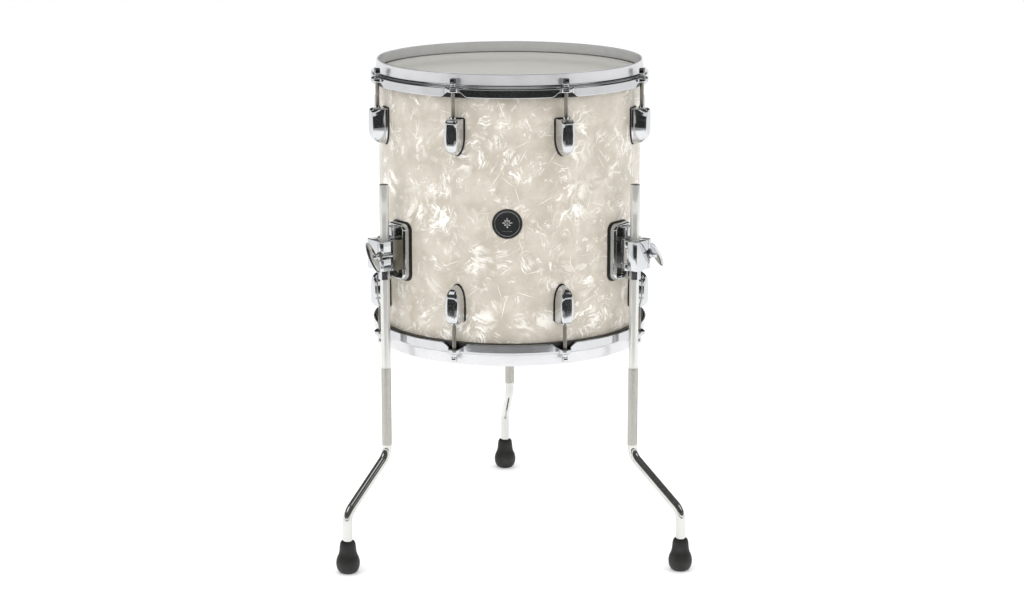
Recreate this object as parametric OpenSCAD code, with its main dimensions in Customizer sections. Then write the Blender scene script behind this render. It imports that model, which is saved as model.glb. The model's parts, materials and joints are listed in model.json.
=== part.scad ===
// Floor tom: a deep drum standing on three bent legs that slide and turn in clamps.
// Millimetres, +Z up. The origin is on the floor under the drum's axis, and the badge faces -Y.

/* [Shell] */
// Diameter over the wrap
shell_d = 355.6; // [350:0.1:360]
// Depth from bearing edge to bearing edge
shell_h = 355.6; // [350:0.1:420]
// Thickness of the wooden wall
shell_t = 7; // [6:0.5:8]
// Thickness of the pearl wrap
wrap_t = 0.6; // [0.4:0.1:0.8]
// Badge diameter
badge_d = 39.5; // [34:0.5:42]
// Badge centre below the middle of the shell
badge_drop = 2.2; // [0:0.1:10]
// Badge angle from the front
badge_turn = -1; // [-5:0.1:5]

/* [Heads and hoops] */
// How far each rim stands beyond its bearing edge
hoop_rise = 15.4; // [14:0.1:18]
// Thickness of the hoop's sheet
hoop_t = 2.3; // [2:0.1:2.5]
// Thickness of the drum film
film_t = 0.3; // [0.25:0.05:0.35]
// Diameter of a tension rod
rod_d = 5.4; // [5:0.1:5.5]
// Side of the square key head
key_head = 6.35; // [6:0.05:6.5]

/* [Lugs] */
// Lug width at its foot
lug_w = 20.5; // [19:0.5:22]
// Lug length
lug_l = 48.8; // [46:0.2:50]
// How far a lug stands out from its gasket
lug_out = 21.7; // [21:0.1:23]
// Distance of the lug's hoop end from the middle of the shell
lug_end_z = 134.4; // [130:0.1:136]

/* [Legs] */
// Height of the lower rim above the floor
floor_gap = 281; // [270:1:320]
// Leg diameter
leg_d = 12.7; // [12:0.1:13]
// Height of a leg's top end above the floor
leg_top_z = 514; // [500:1:560]
// Sideways reach from a leg's upright part to its foot
leg_reach = 87; // [60:1:100]
// Height of the upper bend's corner
upper_bend_z = 143; // [130:1:160]
// Height of the lower bend's corner
lower_bend_z = 81; // [70:1:90]
// Angle between the front and each front bracket
bracket_angle = 54; // [50:0.5:56]
// Turn of the left leg from straight out
left_leg_turn = 18.8; // [-45:0.1:45]
// Turn of the right leg from straight out
right_leg_turn = -7.6; // [-45:0.1:45]
// Turn of the rear leg from straight out
rear_leg_turn = 4.6; // [-45:0.1:45]

/* [Hidden] */
$fn = 96;

touch_gap = 0.05;
run_gap = 0.05;
screw_gap = 0.25;
leg_gap = 0.1;

// Shell
shell_r = shell_d / 2;
wood_r = shell_r - wrap_t - 0.02;
shell_in_r = shell_r - wrap_t - shell_t;
edge_z = shell_h / 2;
mid_z = floor_gap + hoop_rise + edge_z;
edge_bevel = 5;
edge_land_r = wood_r - 2;
edge_round = 1.4;

// Heads
film_bend_r = 2;
film_bend_c = shell_r + 2 * touch_gap - film_bend_r;
film_top_z = edge_z + touch_gap + film_t;
flesh_in_r = shell_r + 0.8;
flesh_out_r = shell_r + 7.2;
flesh_top_z = edge_z - 5.2;
flesh_low_z = edge_z - 15.6;
flesh_wall = 1.6;
film_tail_r = flesh_out_r - 3;

// Hoops
rim_z = edge_z + hoop_rise;
collar_r = shell_r + 2.8;
collar_h = 14.8;
fillet_r = 3;
shoulder_r = 5;
skirt_r = collar_r + fillet_r + shoulder_r;
fillet_z = rim_z - collar_h;
shoulder_z = fillet_z - fillet_r - shoulder_r;
skirt_low_z = rim_z - 30;
rod_circle_r = shell_r + 12.2;
ear_r = 8.5;
ear_t = 4;
ear_root_r = skirt_r - 2;
ear_root_half = 13;
ear_cut_top = 7;
ear_cut_low = 21;
ear_top_z = fillet_z - fillet_r + 0.1;

// Tension rods
rod_count = 8;
rod_step = 360 / rod_count;
rod_first = rod_step / 2;
washer_t = 1.2;
rod_washer_r = 5.6;
rod_washer_z = ear_top_z + touch_gap;
rod_collar_z = rod_washer_z + washer_t + touch_gap;
rod_collar_r = 4.2;
rod_collar_h = 4.2;
key_head_h = 6.6;
rod_low_z = lug_end_z - 13.9;

// Lugs
gasket_t = 1.5;
gasket_margin = 1.2;
gasket_r = shell_r + gasket_t;
lug_low_z = lug_end_z - lug_l;
lug_turn_z = lug_low_z + 26;
lug_front_r = gasket_r + lug_out;
lug_face_half = 6.2;
lug_corner = 2;
insert_r = 4.5;
insert_low_z = lug_end_z - 16.4;
insert_neck = 3;
lug_screw_d = 4;
lug_screw_zs = [lug_low_z + 13, lug_low_z + 38];
lug_screw_tip_r = gasket_r + 4.7;
screw_head_scale = 0.95;
washer_scale = 1.5;

// Leg brackets, by the height of the clamp's middle
bracket_angles = [-bracket_angle, bracket_angle, 180];
leg_r = leg_d / 2;
leg_axis_r = shell_r + 27.2;
plate_w = 41.5;
plate_h = 76.5;
plate_z = mid_z - 52.2;
plate_corner = 9;
plate_out_r = gasket_r + 8.7;
dish_inset = 4;
dish_out_r = plate_out_r - 2.8;
clamp_z = plate_z - 1.5;
clamp_h = 41;
tower_in_r = dish_out_r - 1;
tower_out_r = leg_axis_r - 1.5;
rib_w = 10;
rib_out_r = leg_axis_r - 9.5;
rib_top_z = plate_z + plate_h / 2 - 4;
pin_r = 2;
pin_x = leg_axis_r - 3;
pin_y = -14;
knuckle_r = 4.6;
knuckle_h = 10;
jaw_in_r = leg_axis_r + 1.8;
jaw_out_r = leg_axis_r + 16;
jaw_y_low = pin_y - knuckle_r;
jaw_y_high = 17.5;
wing_y = 12.8;
tower_y_low = pin_y + knuckle_r + 0.4;
tower_y_high = wing_y + 5.2;
wing_shank_r = 3;
wing_slot_half = 3.4;
wing_tip_r = leg_axis_r - 17.5;
wing_washer_r = 6.5;
wing_washer_t = 1.4;
wing_hub_r = 5;
wing_hub_l = 9;
wing_blade = [46, 13];
wing_blade_t = 3.6;
wing_lean = 38;
plate_screw_d = 5;
plate_screw_y = 13;
plate_screw_dz = 29;
plate_screw_tip_r = dish_out_r - 1.2;

// Memory locks
lock_r = 8.6;
lock_h = 13;
lock_top_z = clamp_z - clamp_h / 2 - 0.5;
lock_lug_half = 4.5;
lock_lug_in_r = plate_out_r + 1;
lock_slot = 1.5;
lock_screw_r = 2;
lock_screw_x = leg_axis_r - 12;
lock_head = 5.5;

// Legs and feet
bend_r = 24;
leg_slant = atan(leg_reach / (upper_bend_z - lower_bend_z));
bend_cut = bend_r * tan(leg_slant / 2);
bend_lap = 1;
bend_skin = 0.1;
leg_tip_z = 14;
top_chamfer = 1;
foot_r = 15.9;
foot_ball_z = 14.5;
foot_neck_r = 10.3;
foot_neck_z = 36;
foot_h = 44;

// Badge and air vent
badge_t = 1.25;
vent_angle = 135;
vent_r = 6.2;
vent_flange_r = 9.5;
vent_lip_r = 8.5;
vent_bore_r = 4.8;

// Local +X points out from the drum's axis at the given angle from the front, local +Y points to its right.
module at_angle(angle) {
    rotate([0, 0, angle - 90]) children();
}

// Half frames measured from the middle of the shell, +Z towards the head
module batter_side() {
    translate([0, 0, mid_z]) children();
}

module resonant_side() {
    translate([0, 0, mid_z]) mirror([0, 0, 1]) children();
}

module at_rods() {
    for (i = [1:rod_count]) at_angle(rod_angle(i)) children();
}

module at_brackets() {
    for (angle = bracket_angles) at_angle(angle) children();
}

function rod_angle(i) = rod_first + (i - 1) * rod_step;

// Points along an arc from one angle to another
function arc(cx, cy, r, from, to, n = 6) =
    [for (i = [0:n]) let (a = from + (to - from) * i / n) [cx + r * cos(a), cy + r * sin(a)]];

// A flat ring about Z
module ring(outer_r, inner_r, h) {
    difference() {
        cylinder(r = outer_r, h = h);
        translate([0, 0, -1]) cylinder(r = inner_r, h = h + 2);
    }
}

// A cylinder along local +X, from one radius to another
module radial_rod(r, from, to, y = 0, z = 0) {
    translate([from, y, z]) rotate([0, 90, 0]) cylinder(r = r, h = to - from);
}

// Extrudes a (Y, Z) outline along local +X
module radial_extrude(from, to) {
    translate([from, 0, 0]) rotate([90, 0, 90]) linear_extrude(to - from) children();
}

module rounded_rect(w, h, r) {
    square([w, h - 2 * r], center = true);
    square([w - 2 * r, h], center = true);
    for (x = [-1, 1], y = [-1, 1]) {
        translate([x * (w / 2 - r), y * (h / 2 - r)]) circle(r = r);
    }
}

// Bores for the lug screws, the bracket screws and the air vent
module shell_bores() {
    batter_side() at_rods() lug_screw_bores();
    resonant_side() at_rods() lug_screw_bores();
    at_brackets() bracket_screw_places() {
        radial_rod(plate_screw_d / 2 + screw_gap, shell_in_r - 5, gasket_r + 1);
    }
    translate([0, 0, mid_z]) at_angle(vent_angle) radial_rod(vent_r + 0.1, shell_in_r - 5, shell_r + 5);
}

module lug_screw_bores() {
    for (z = lug_screw_zs) radial_rod(lug_screw_d / 2 + screw_gap, shell_in_r - 5, gasket_r + 1, 0, z);
}

module bracket_screw_places() {
    for (y = [-plate_screw_y, plate_screw_y], dz = [-plate_screw_dz, plate_screw_dz]) {
        translate([0, y, plate_z + dz]) children();
    }
}

// Wooden shell with a bearing edge at each end
module shell() {
    color("burlywood")
    difference() {
        translate([0, 0, mid_z]) rotate_extrude() polygon(concat(edge_profile(1), edge_profile(-1)));
        shell_bores();
    }
}

// One end of the shell's wall in (radius, height), from the inside out at the top and back at the bottom
function edge_profile(end) =
    let (points = [
        [shell_in_r, edge_z - edge_bevel],
        [edge_land_r, edge_z],
        [wood_r - edge_round, edge_z],
        [wood_r, edge_z - edge_round]
    ])
    end > 0 ? points : [for (i = [3:-1:0]) [points[i][0], -points[i][1]]];

// Thin pearl sheet around the shell
module wrap() {
    wrap_h = shell_h - 2 * edge_round - 1;
    color("ivory")
    difference() {
        translate([0, 0, mid_z - wrap_h / 2]) ring(shell_r, shell_r - wrap_t, wrap_h);
        shell_bores();
    }
}

// Round plate curved to the shell
module badge() {
    color("black")
    translate([0, 0, mid_z - badge_drop]) intersection() {
        translate([0, 0, -badge_d]) ring(shell_r + badge_t, shell_r + touch_gap, 2 * badge_d);
        at_angle(badge_turn) radial_rod(badge_d / 2, shell_r - 10, shell_r + 10);
    }
}

// Flanged tube that lets air out through the shell
module vent_grommet() {
    color("silver")
    translate([0, 0, mid_z]) at_angle(vent_angle) difference() {
        union() {
            radial_rod(vent_r, shell_in_r - 1.6, shell_r + 1.2);
            radial_rod(vent_flange_r, shell_r + touch_gap, shell_r + 1.2);
            radial_rod(vent_lip_r, shell_in_r - 1.6, shell_in_r - 0.3);
        }
        radial_rod(vent_bore_r, shell_in_r - 3, shell_r + 3);
    }
}

// Clear film stretched over the bearing edge, with its rim turned into the flesh hoop
module head_film() {
    turn_z = film_top_z - film_t - film_bend_r;
    flare_z = flesh_top_z - 1 + touch_gap;
    rotate_extrude() polygon(concat(
        [[0, film_top_z]],
        arc(film_bend_c, turn_z, film_bend_r + film_t, 90, 0),
        [
            [film_bend_c + film_bend_r + film_t, flare_z + film_t],
            [film_tail_r + film_t, flare_z + film_t],
            [film_tail_r + film_t, flesh_low_z + 3.3],
            [film_tail_r, flesh_low_z + 3.3],
            [film_tail_r, flare_z],
            [film_bend_c + film_bend_r, flare_z]
        ],
        arc(film_bend_c, turn_z, film_bend_r, 0, 90),
        [[0, film_top_z - film_t]]
    ));
}

module batter_film() {
    color("gainsboro") batter_side() head_film();
}

module resonant_film() {
    color("gainsboro") resonant_side() head_film();
}

// Metal channel that holds the film's rim
module flesh_hoop() {
    rotate_extrude() polygon([
        [flesh_in_r, flesh_low_z],
        [flesh_out_r, flesh_low_z],
        [flesh_out_r, flesh_top_z],
        [flesh_out_r - flesh_wall, flesh_top_z],
        [flesh_out_r - flesh_wall, flesh_low_z + 2.8],
        [flesh_in_r + 2.2, flesh_low_z + 2.8],
        [flesh_in_r + 2.2, flesh_top_z - 1],
        [flesh_in_r, flesh_top_z - 1]
    ]);
}

module batter_flesh_hoop() {
    color("lightgray") batter_side() flesh_hoop();
}

module resonant_flesh_hoop() {
    color("lightgray") resonant_side() flesh_hoop();
}

// Double-flanged hoop: an upright collar, a rounded shoulder and a skirt that is cut away under each ear
module counterhoop() {
    fillet_c = collar_r + fillet_r;
    difference() {
        union() {
            rotate_extrude() polygon(concat(
                [[collar_r - hoop_t, rim_z], [collar_r, rim_z]],
                arc(fillet_c, fillet_z, fillet_r, 180, 270),
                arc(fillet_c, shoulder_z, shoulder_r, 90, 0),
                [[skirt_r, skirt_low_z], [skirt_r - hoop_t, skirt_low_z]],
                arc(fillet_c, shoulder_z, shoulder_r - hoop_t, 0, 90),
                arc(fillet_c, fillet_z, fillet_r + hoop_t, 270, 180)
            ));
            at_rods() translate([0, 0, ear_top_z - ear_t]) linear_extrude(ear_t) ear_outline();
        }
        at_rods() radial_extrude(skirt_r - 4.5, skirt_r + 8) polygon([
            [-ear_cut_top, shoulder_z + 0.5],
            [ear_cut_top, shoulder_z + 0.5],
            [ear_cut_low, skirt_low_z - 0.2],
            [ear_cut_low, skirt_low_z - 4],
            [-ear_cut_low, skirt_low_z - 4],
            [-ear_cut_low, skirt_low_z - 0.2]
        ]);
        at_rods() translate([rod_circle_r, 0, ear_top_z - 10]) cylinder(r = rod_d / 2 + 0.4, h = 20);
    }
}

// An ear grows out of the skirt, so that nothing reaches in over the flesh hoop.
module ear_outline() {
    polygon(concat(
        [[ear_root_r, -ear_root_half], [ear_root_r + 1.5, 1.5 - ear_root_half]],
        arc(rod_circle_r, 0, ear_r, -90, 90, 24),
        [[ear_root_r + 1.5, ear_root_half - 1.5], [ear_root_r, ear_root_half]]
    ));
}

module batter_hoop() {
    color("silver") batter_side() counterhoop();
}

module resonant_hoop() {
    color("silver") resonant_side() counterhoop();
}

module rod_washers() {
    at_rods() translate([rod_circle_r, 0, rod_washer_z]) ring(rod_washer_r, rod_d / 2 + 0.2, washer_t);
}

module batter_rod_washers() {
    color("dimgray") batter_side() rod_washers();
}

module resonant_rod_washers() {
    color("dimgray") resonant_side() rod_washers();
}

// Tension rod: threaded shank, round collar and square key head
module tension_rod(i) {
    at_angle(rod_angle(i)) translate([rod_circle_r, 0, 0]) {
        translate([0, 0, rod_low_z]) cylinder(d = rod_d, h = rod_collar_z - rod_low_z + 1);
        translate([0, 0, rod_collar_z]) cylinder(r = rod_collar_r, h = rod_collar_h);
        translate([-key_head / 2, -key_head / 2, rod_collar_z + rod_collar_h]) {
            cube([key_head, key_head, key_head_h]);
        }
    }
}

module batter_rod(i) {
    color("silver") batter_side() tension_rod(i);
}

module resonant_rod(i) {
    color("silver") resonant_side() tension_rod(i);
}

// Outline of a lug seen from the front: square towards the hoop, rounded towards the middle of the shell
function lug_outline(grow) =
    let (half = lug_w / 2 + grow, top = lug_end_z + grow)
    concat(
        [
            [half, top - lug_corner],
            [half - lug_corner, top],
            [lug_corner - half, top],
            [-half, top - lug_corner]
        ],
        [for (i = [0:12]) let (a = 180 + 15 * i)
            [half * cos(a), lug_turn_z + (lug_turn_z - lug_low_z + grow) * sin(a)]]
    );

// The lug from the side, in (radius, height)
function lug_profile() = concat(
    [
        [shell_r - 5, lug_end_z + 1],
        [lug_front_r - 2.5, lug_end_z + 1],
        [lug_front_r - 2.5, lug_end_z],
        [lug_front_r, lug_end_z - 2]
    ],
    [for (i = [0:10]) let (a = -9 * i)
        [gasket_r - 2 + (lug_out + 2) * cos(a), lug_turn_z + (lug_turn_z - lug_low_z) * sin(a)]],
    [[shell_r - 5, lug_low_z]]
);

// The lug from its end, in (radius, right), mirrored about its middle
function lug_section() =
    let (half = [
        [shell_r - 5, lug_w / 2 + 0.2],
        [gasket_r + 2, lug_w / 2],
        [lug_front_r - 3.5, lug_face_half + 1.4],
        [lug_front_r - 0.6, lug_face_half - 0.6]
    ])
    concat([for (p = half) [p[0], -p[1]]], [[lug_front_r, 0]], [for (i = [3:-1:0]) half[i]]);

// Single-ended lug: a rounded wedge with a narrow front face
module lug() {
    difference() {
        intersection() {
            radial_extrude(shell_r - 5, lug_front_r + 5) polygon(lug_outline(0));
            rotate([90, 0, 0]) linear_extrude(lug_w + 2, center = true) polygon(lug_profile());
            translate([0, 0, lug_low_z - 5]) linear_extrude(lug_l + 10) polygon(lug_section());
        }
        cylinder(r = gasket_r + touch_gap, h = lug_end_z + 10);
        for (z = lug_screw_zs) {
            radial_rod(lug_screw_d / 2 + run_gap, shell_in_r, lug_screw_tip_r + 0.3, 0, z);
        }
        translate([rod_circle_r, 0, insert_low_z - 0.1]) cylinder(r = insert_r + run_gap, h = 40);
    }
}

module batter_lugs() {
    color("silver") batter_side() at_rods() lug();
}

module resonant_lugs() {
    color("silver") resonant_side() at_rods() lug();
}

module lug_gasket() {
    difference() {
        intersection() {
            radial_extrude(shell_r - 5, gasket_r + 5) polygon(lug_outline(gasket_margin));
            cylinder(r = gasket_r, h = lug_end_z + 10);
        }
        cylinder(r = shell_r + touch_gap, h = lug_end_z + 10);
        lug_screw_bores();
    }
}

module lug_gaskets() {
    color("black") {
        batter_side() at_rods() lug_gasket();
        resonant_side() at_rods() lug_gasket();
    }
}

// Threaded insert, with a neck that stands out of the lug's end
module lug_insert() {
    translate([rod_circle_r, 0, insert_low_z]) difference() {
        union() {
            cylinder(r = insert_r, h = lug_end_z - insert_low_z);
            cylinder(r = insert_r - 0.7, h = lug_end_z - insert_low_z + insert_neck);
        }
        translate([0, 0, -1]) cylinder(r = rod_d / 2 + run_gap, h = 40);
    }
}

module lug_inserts() {
    color("gray") {
        batter_side() at_rods() lug_insert();
        resonant_side() at_rods() lug_insert();
    }
}

// Where the head of a screw inside the shell sits, so that its flat washer clears the curved wall
function seat_r(d, y = 0) = sqrt(pow(shell_in_r, 2) - pow(y + washer_scale * d, 2)) - washer_t - touch_gap;

// Pan-head screw from inside the shell, along local +X
module inside_screw(d, seat, tip) {
    radial_rod(d / 2, seat, tip);
    radial_rod(screw_head_scale * d, seat - d / 2, seat);
}

// Washer under an inside screw's head
module inside_washer(d, seat) {
    difference() {
        radial_rod(washer_scale * d, seat + touch_gap, seat + washer_t);
        radial_rod(d / 2 + 0.2, seat - 5, seat + 5);
    }
}

module at_lug_screws() {
    for (z = lug_screw_zs) {
        batter_side() at_rods() translate([0, 0, z]) children();
        resonant_side() at_rods() translate([0, 0, z]) children();
    }
}

module lug_screws() {
    color("dimgray") at_lug_screws() inside_screw(lug_screw_d, seat_r(lug_screw_d), lug_screw_tip_r);
}

module lug_screw_washers() {
    color("gray") at_lug_screws() inside_washer(lug_screw_d, seat_r(lug_screw_d));
}

// Dished base plate with the fixed half of the leg clamp
module bracket_base() {
    clamp_low = clamp_z - clamp_h / 2;
    difference() {
        union() {
            difference() {
                translate([0, 0, plate_z]) radial_extrude(shell_r - 8, plate_out_r) {
                    rounded_rect(plate_w, plate_h, plate_corner);
                }
                translate([0, 0, plate_z]) radial_extrude(dish_out_r, plate_out_r + 5) {
                    rounded_rect(plate_w - 2 * dish_inset, plate_h - 2 * dish_inset, plate_corner - dish_inset);
                }
            }
            translate([tower_in_r, tower_y_low, clamp_low]) {
                cube([tower_out_r - tower_in_r, tower_y_high - tower_y_low, clamp_h]);
            }
            translate([tower_in_r, -rib_w / 2, clamp_z]) {
                cube([rib_out_r - tower_in_r, rib_w, rib_top_z - clamp_z]);
            }
            for (z = [clamp_low, clamp_low + clamp_h - knuckle_h]) translate([0, 0, z]) {
                translate([pin_x, pin_y, 0]) cylinder(r = knuckle_r, h = knuckle_h);
                translate([pin_x - knuckle_r, pin_y, 0]) cube([2 * knuckle_r - 0.7, 8, knuckle_h]);
            }
        }
        translate([0, 0, plate_z - plate_h]) cylinder(r = gasket_r + touch_gap, h = 2 * plate_h);
        translate([leg_axis_r, 0, plate_z - plate_h]) cylinder(r = leg_r + leg_gap, h = 2 * plate_h);
        translate([pin_x, pin_y, clamp_low - 1]) cylinder(r = pin_r + run_gap, h = clamp_h + 2);
        radial_rod(wing_shank_r + run_gap, wing_tip_r - 1, tower_out_r + 5, wing_y, clamp_z);
        bracket_screw_places() {
            radial_rod(plate_screw_d / 2 + run_gap, shell_in_r, plate_screw_tip_r + 0.2);
        }
    }
}

module bracket_bases() {
    color("silver") at_brackets() bracket_base();
}

module bracket_gaskets() {
    gasket_w = plate_w + 3.5;
    gasket_h = plate_h + 3.5;
    color("black") at_brackets() difference() {
        intersection() {
            translate([0, 0, plate_z]) radial_extrude(shell_r - 5, gasket_r + 5) {
                rounded_rect(gasket_w, gasket_h, plate_corner + 1.7);
            }
            translate([0, 0, plate_z - gasket_h]) cylinder(r = gasket_r, h = 2 * gasket_h);
        }
        translate([0, 0, plate_z - gasket_h]) cylinder(r = shell_r + touch_gap, h = 2 * gasket_h);
        bracket_screw_places() radial_rod(plate_screw_d / 2 + screw_gap, shell_in_r, gasket_r + 5);
    }
}

module bracket_screws() {
    color("dimgray") at_brackets() bracket_screw_places() {
        inside_screw(plate_screw_d, seat_r(plate_screw_d, plate_screw_y), plate_screw_tip_r);
    }
}

module bracket_screw_washers() {
    color("gray") at_brackets() bracket_screw_places() {
        inside_washer(plate_screw_d, seat_r(plate_screw_d, plate_screw_y));
    }
}

// Hinge pins of the three jaws, with small domed ends
module jaw_pins() {
    color("silver") at_brackets() translate([pin_x, pin_y, clamp_z - clamp_h / 2 - 0.8]) {
        cylinder(r = pin_r, h = clamp_h + 1.6);
        cylinder(r = pin_r + 0.9, h = 0.75);
        translate([0, 0, clamp_h + 0.85]) cylinder(r = pin_r + 0.9, h = 0.75);
    }
}

// Swinging half of the clamp, with an open slot for the wing screw
module clamp_jaw(angle) {
    jaw_low = clamp_z - clamp_h / 2 + 0.4;
    jaw_h = clamp_h - 0.8;
    knuckle_gap = 0.3;
    knuckle_low = clamp_z - clamp_h / 2 + knuckle_h + knuckle_gap;
    jaw_knuckle_h = clamp_h - 2 * (knuckle_h + knuckle_gap);
    color("silver") at_angle(angle) difference() {
        union() {
            translate([0, 0, jaw_low]) linear_extrude(jaw_h) polygon([
                [jaw_in_r, jaw_y_low],
                [jaw_out_r - 9, jaw_y_low],
                [jaw_out_r - 1, -7.5],
                [jaw_out_r, -5],
                [jaw_out_r, jaw_y_high - 3],
                [jaw_out_r - 3, jaw_y_high],
                [jaw_in_r, jaw_y_high]
            ]);
            translate([pin_x, pin_y, knuckle_low]) cylinder(r = knuckle_r, h = jaw_knuckle_h);
            translate([pin_x, jaw_y_low, knuckle_low]) {
                cube([jaw_in_r - pin_x + 1, 2 * knuckle_r, jaw_knuckle_h]);
            }
        }
        translate([leg_axis_r, 0, jaw_low - 1]) cylinder(r = leg_r + leg_gap, h = jaw_h + 2);
        translate([pin_x, pin_y, jaw_low - 1]) cylinder(r = pin_r + run_gap, h = jaw_h + 2);
        translate([jaw_in_r - 5, wing_y - wing_slot_half, clamp_z - wing_slot_half]) {
            cube([40, 30, 2 * wing_slot_half]);
        }
    }
}

module clamp_jaw_left() {
    clamp_jaw(-bracket_angle);
}

module clamp_jaw_right() {
    clamp_jaw(bracket_angle);
}

module clamp_jaw_rear() {
    clamp_jaw(180);
}

module wing_washer(angle) {
    color("gray") at_angle(angle) difference() {
        radial_rod(wing_washer_r, jaw_out_r + touch_gap, jaw_out_r + wing_washer_t, wing_y, clamp_z);
        radial_rod(wing_shank_r + run_gap, jaw_out_r - 1, jaw_out_r + 3, wing_y, clamp_z);
    }
}

module wing_washer_left() {
    wing_washer(-bracket_angle);
}

module wing_washer_right() {
    wing_washer(bracket_angle);
}

module wing_washer_rear() {
    wing_washer(180);
}

// Threaded shank, hub and a leaning oval blade
module wing_screw(angle) {
    hub_x = jaw_out_r + wing_washer_t + touch_gap;
    blade_x = hub_x + wing_hub_l + wing_blade[1] / 2 - 2.5;
    color("silver") at_angle(angle) translate([0, wing_y, clamp_z]) {
        radial_rod(wing_shank_r, wing_tip_r, hub_x + 1);
        radial_rod(wing_hub_r, hub_x, hub_x + wing_hub_l);
        rotate([wing_lean, 0, 0]) translate([blade_x, 0, 0]) {
            rotate([90, 0, 0]) linear_extrude(wing_blade_t, center = true) polygon(
                [for (i = [0:23]) [wing_blade[1] / 2 * cos(15 * i), wing_blade[0] / 2 * sin(15 * i)]]
            );
        }
    }
}

module wing_screw_left() {
    wing_screw(-bracket_angle);
}

module wing_screw_right() {
    wing_screw(bracket_angle);
}

module wing_screw_rear() {
    wing_screw(180);
}

// Split collar on the leg, with a lug towards the drum
module memory_lock(angle) {
    low = lock_top_z - lock_h;
    color("silver") at_angle(angle) difference() {
        union() {
            translate([leg_axis_r, 0, low]) cylinder(r = lock_r, h = lock_h);
            translate([lock_lug_in_r, -lock_lug_half, low]) {
                cube([leg_axis_r - lock_lug_in_r, 2 * lock_lug_half, lock_h]);
            }
        }
        translate([leg_axis_r, 0, low - 1]) cylinder(r = leg_r + run_gap, h = lock_h + 2);
        translate([lock_lug_in_r - 1, -lock_slot / 2, low - 1]) {
            cube([leg_axis_r - lock_lug_in_r, lock_slot, lock_h + 2]);
        }
        translate([lock_screw_x, 20, low + lock_h / 2]) rotate([90, 0, 0]) {
            cylinder(r = lock_screw_r + run_gap, h = 40);
        }
    }
}

module memory_lock_left() {
    memory_lock(-bracket_angle);
}

module memory_lock_right() {
    memory_lock(bracket_angle);
}

module memory_lock_rear() {
    memory_lock(180);
}

// Key screw across the split of a memory lock
module lock_screw(angle) {
    head_y = lock_lug_half + touch_gap;
    color("dimgray") at_angle(angle) translate([lock_screw_x, 0, lock_top_z - lock_h / 2]) {
        translate([0, head_y + 1, 0]) rotate([90, 0, 0]) cylinder(r = lock_screw_r, h = 2 * lock_lug_half + 2);
        translate([-lock_head / 2, head_y, -lock_head / 2]) cube([lock_head, 4, lock_head]);
    }
}

module lock_screw_left() {
    lock_screw(-bracket_angle);
}

module lock_screw_right() {
    lock_screw(bracket_angle);
}

module lock_screw_rear() {
    lock_screw(180);
}

// Local frame of a leg: +Z along its upright part, +X towards its foot
module at_leg(angle, turn) {
    at_angle(angle) translate([leg_axis_r, 0, 0]) rotate([0, 0, turn]) children();
}

// Round bar with two bends. Each stretch is placed from the end of the one above it.
module leg(angle, turn) {
    upper_z = upper_bend_z + bend_cut;
    slant_l = norm([leg_reach, upper_bend_z - lower_bend_z]) - 2 * bend_cut;
    tip_l = lower_bend_z - bend_cut - leg_tip_z;
    color("silver") at_leg(angle, turn) translate([0, 0, upper_z]) {
        translate([0, 0, -bend_lap]) cylinder(r = leg_r, h = leg_top_z - top_chamfer - upper_z + bend_lap);
        translate([0, 0, leg_top_z - top_chamfer - upper_z]) {
            cylinder(r1 = leg_r, r2 = leg_r - top_chamfer, h = top_chamfer);
        }
        bend_down(1) {
            translate([0, 0, -slant_l - bend_lap]) cylinder(r = leg_r, h = slant_l + 2 * bend_lap);
            translate([0, 0, -slant_l]) bend_down(-1) {
                translate([0, 0, -tip_l]) cylinder(r = leg_r, h = tip_l + bend_lap);
            }
        }
    }
}

// A bend from straight down towards local +X (side 1) or -X (side -1), with its children at its far end.
// It is a hair thinner than the straight stretches, which reach a little way into it.
module bend_down(side) {
    translate([side * bend_r, 0, 0]) {
        rotate([side * 90, 0, 0]) rotate([0, 0, side > 0 ? 180 : 0]) {
            rotate_extrude(angle = leg_slant) translate([bend_r, 0]) circle(r = leg_r - bend_skin);
        }
        rotate([0, -side * leg_slant, 0]) translate([-side * bend_r, 0, 0]) children();
    }
}

module leg_left() {
    leg(-bracket_angle, left_leg_turn);
}

module leg_right() {
    leg(bracket_angle, right_leg_turn);
}

module leg_rear() {
    leg(180, rear_leg_turn);
}

// Rubber foot: a ball with a flat bottom, a tapering neck and a lip
module foot(angle, turn) {
    color("black") at_leg(angle, turn) translate([leg_reach, 0, 0]) difference() {
        union() {
            intersection() {
                translate([0, 0, foot_ball_z]) sphere(r = foot_r);
                cylinder(r = foot_r + 1, h = 2 * foot_r);
            }
            translate([0, 0, foot_ball_z + 4]) {
                cylinder(r1 = foot_r - 0.6, r2 = foot_neck_r, h = foot_neck_z - foot_ball_z - 4);
            }
            translate([0, 0, foot_neck_z]) cylinder(r = foot_neck_r, h = foot_h - foot_neck_z);
        }
        translate([0, 0, leg_tip_z - touch_gap]) cylinder(r = leg_r + 0.02, h = foot_h);
    }
}

module foot_left() {
    foot(-bracket_angle, left_leg_turn);
}

module foot_right() {
    foot(bracket_angle, right_leg_turn);
}

module foot_rear() {
    foot(180, rear_leg_turn);
}

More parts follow.
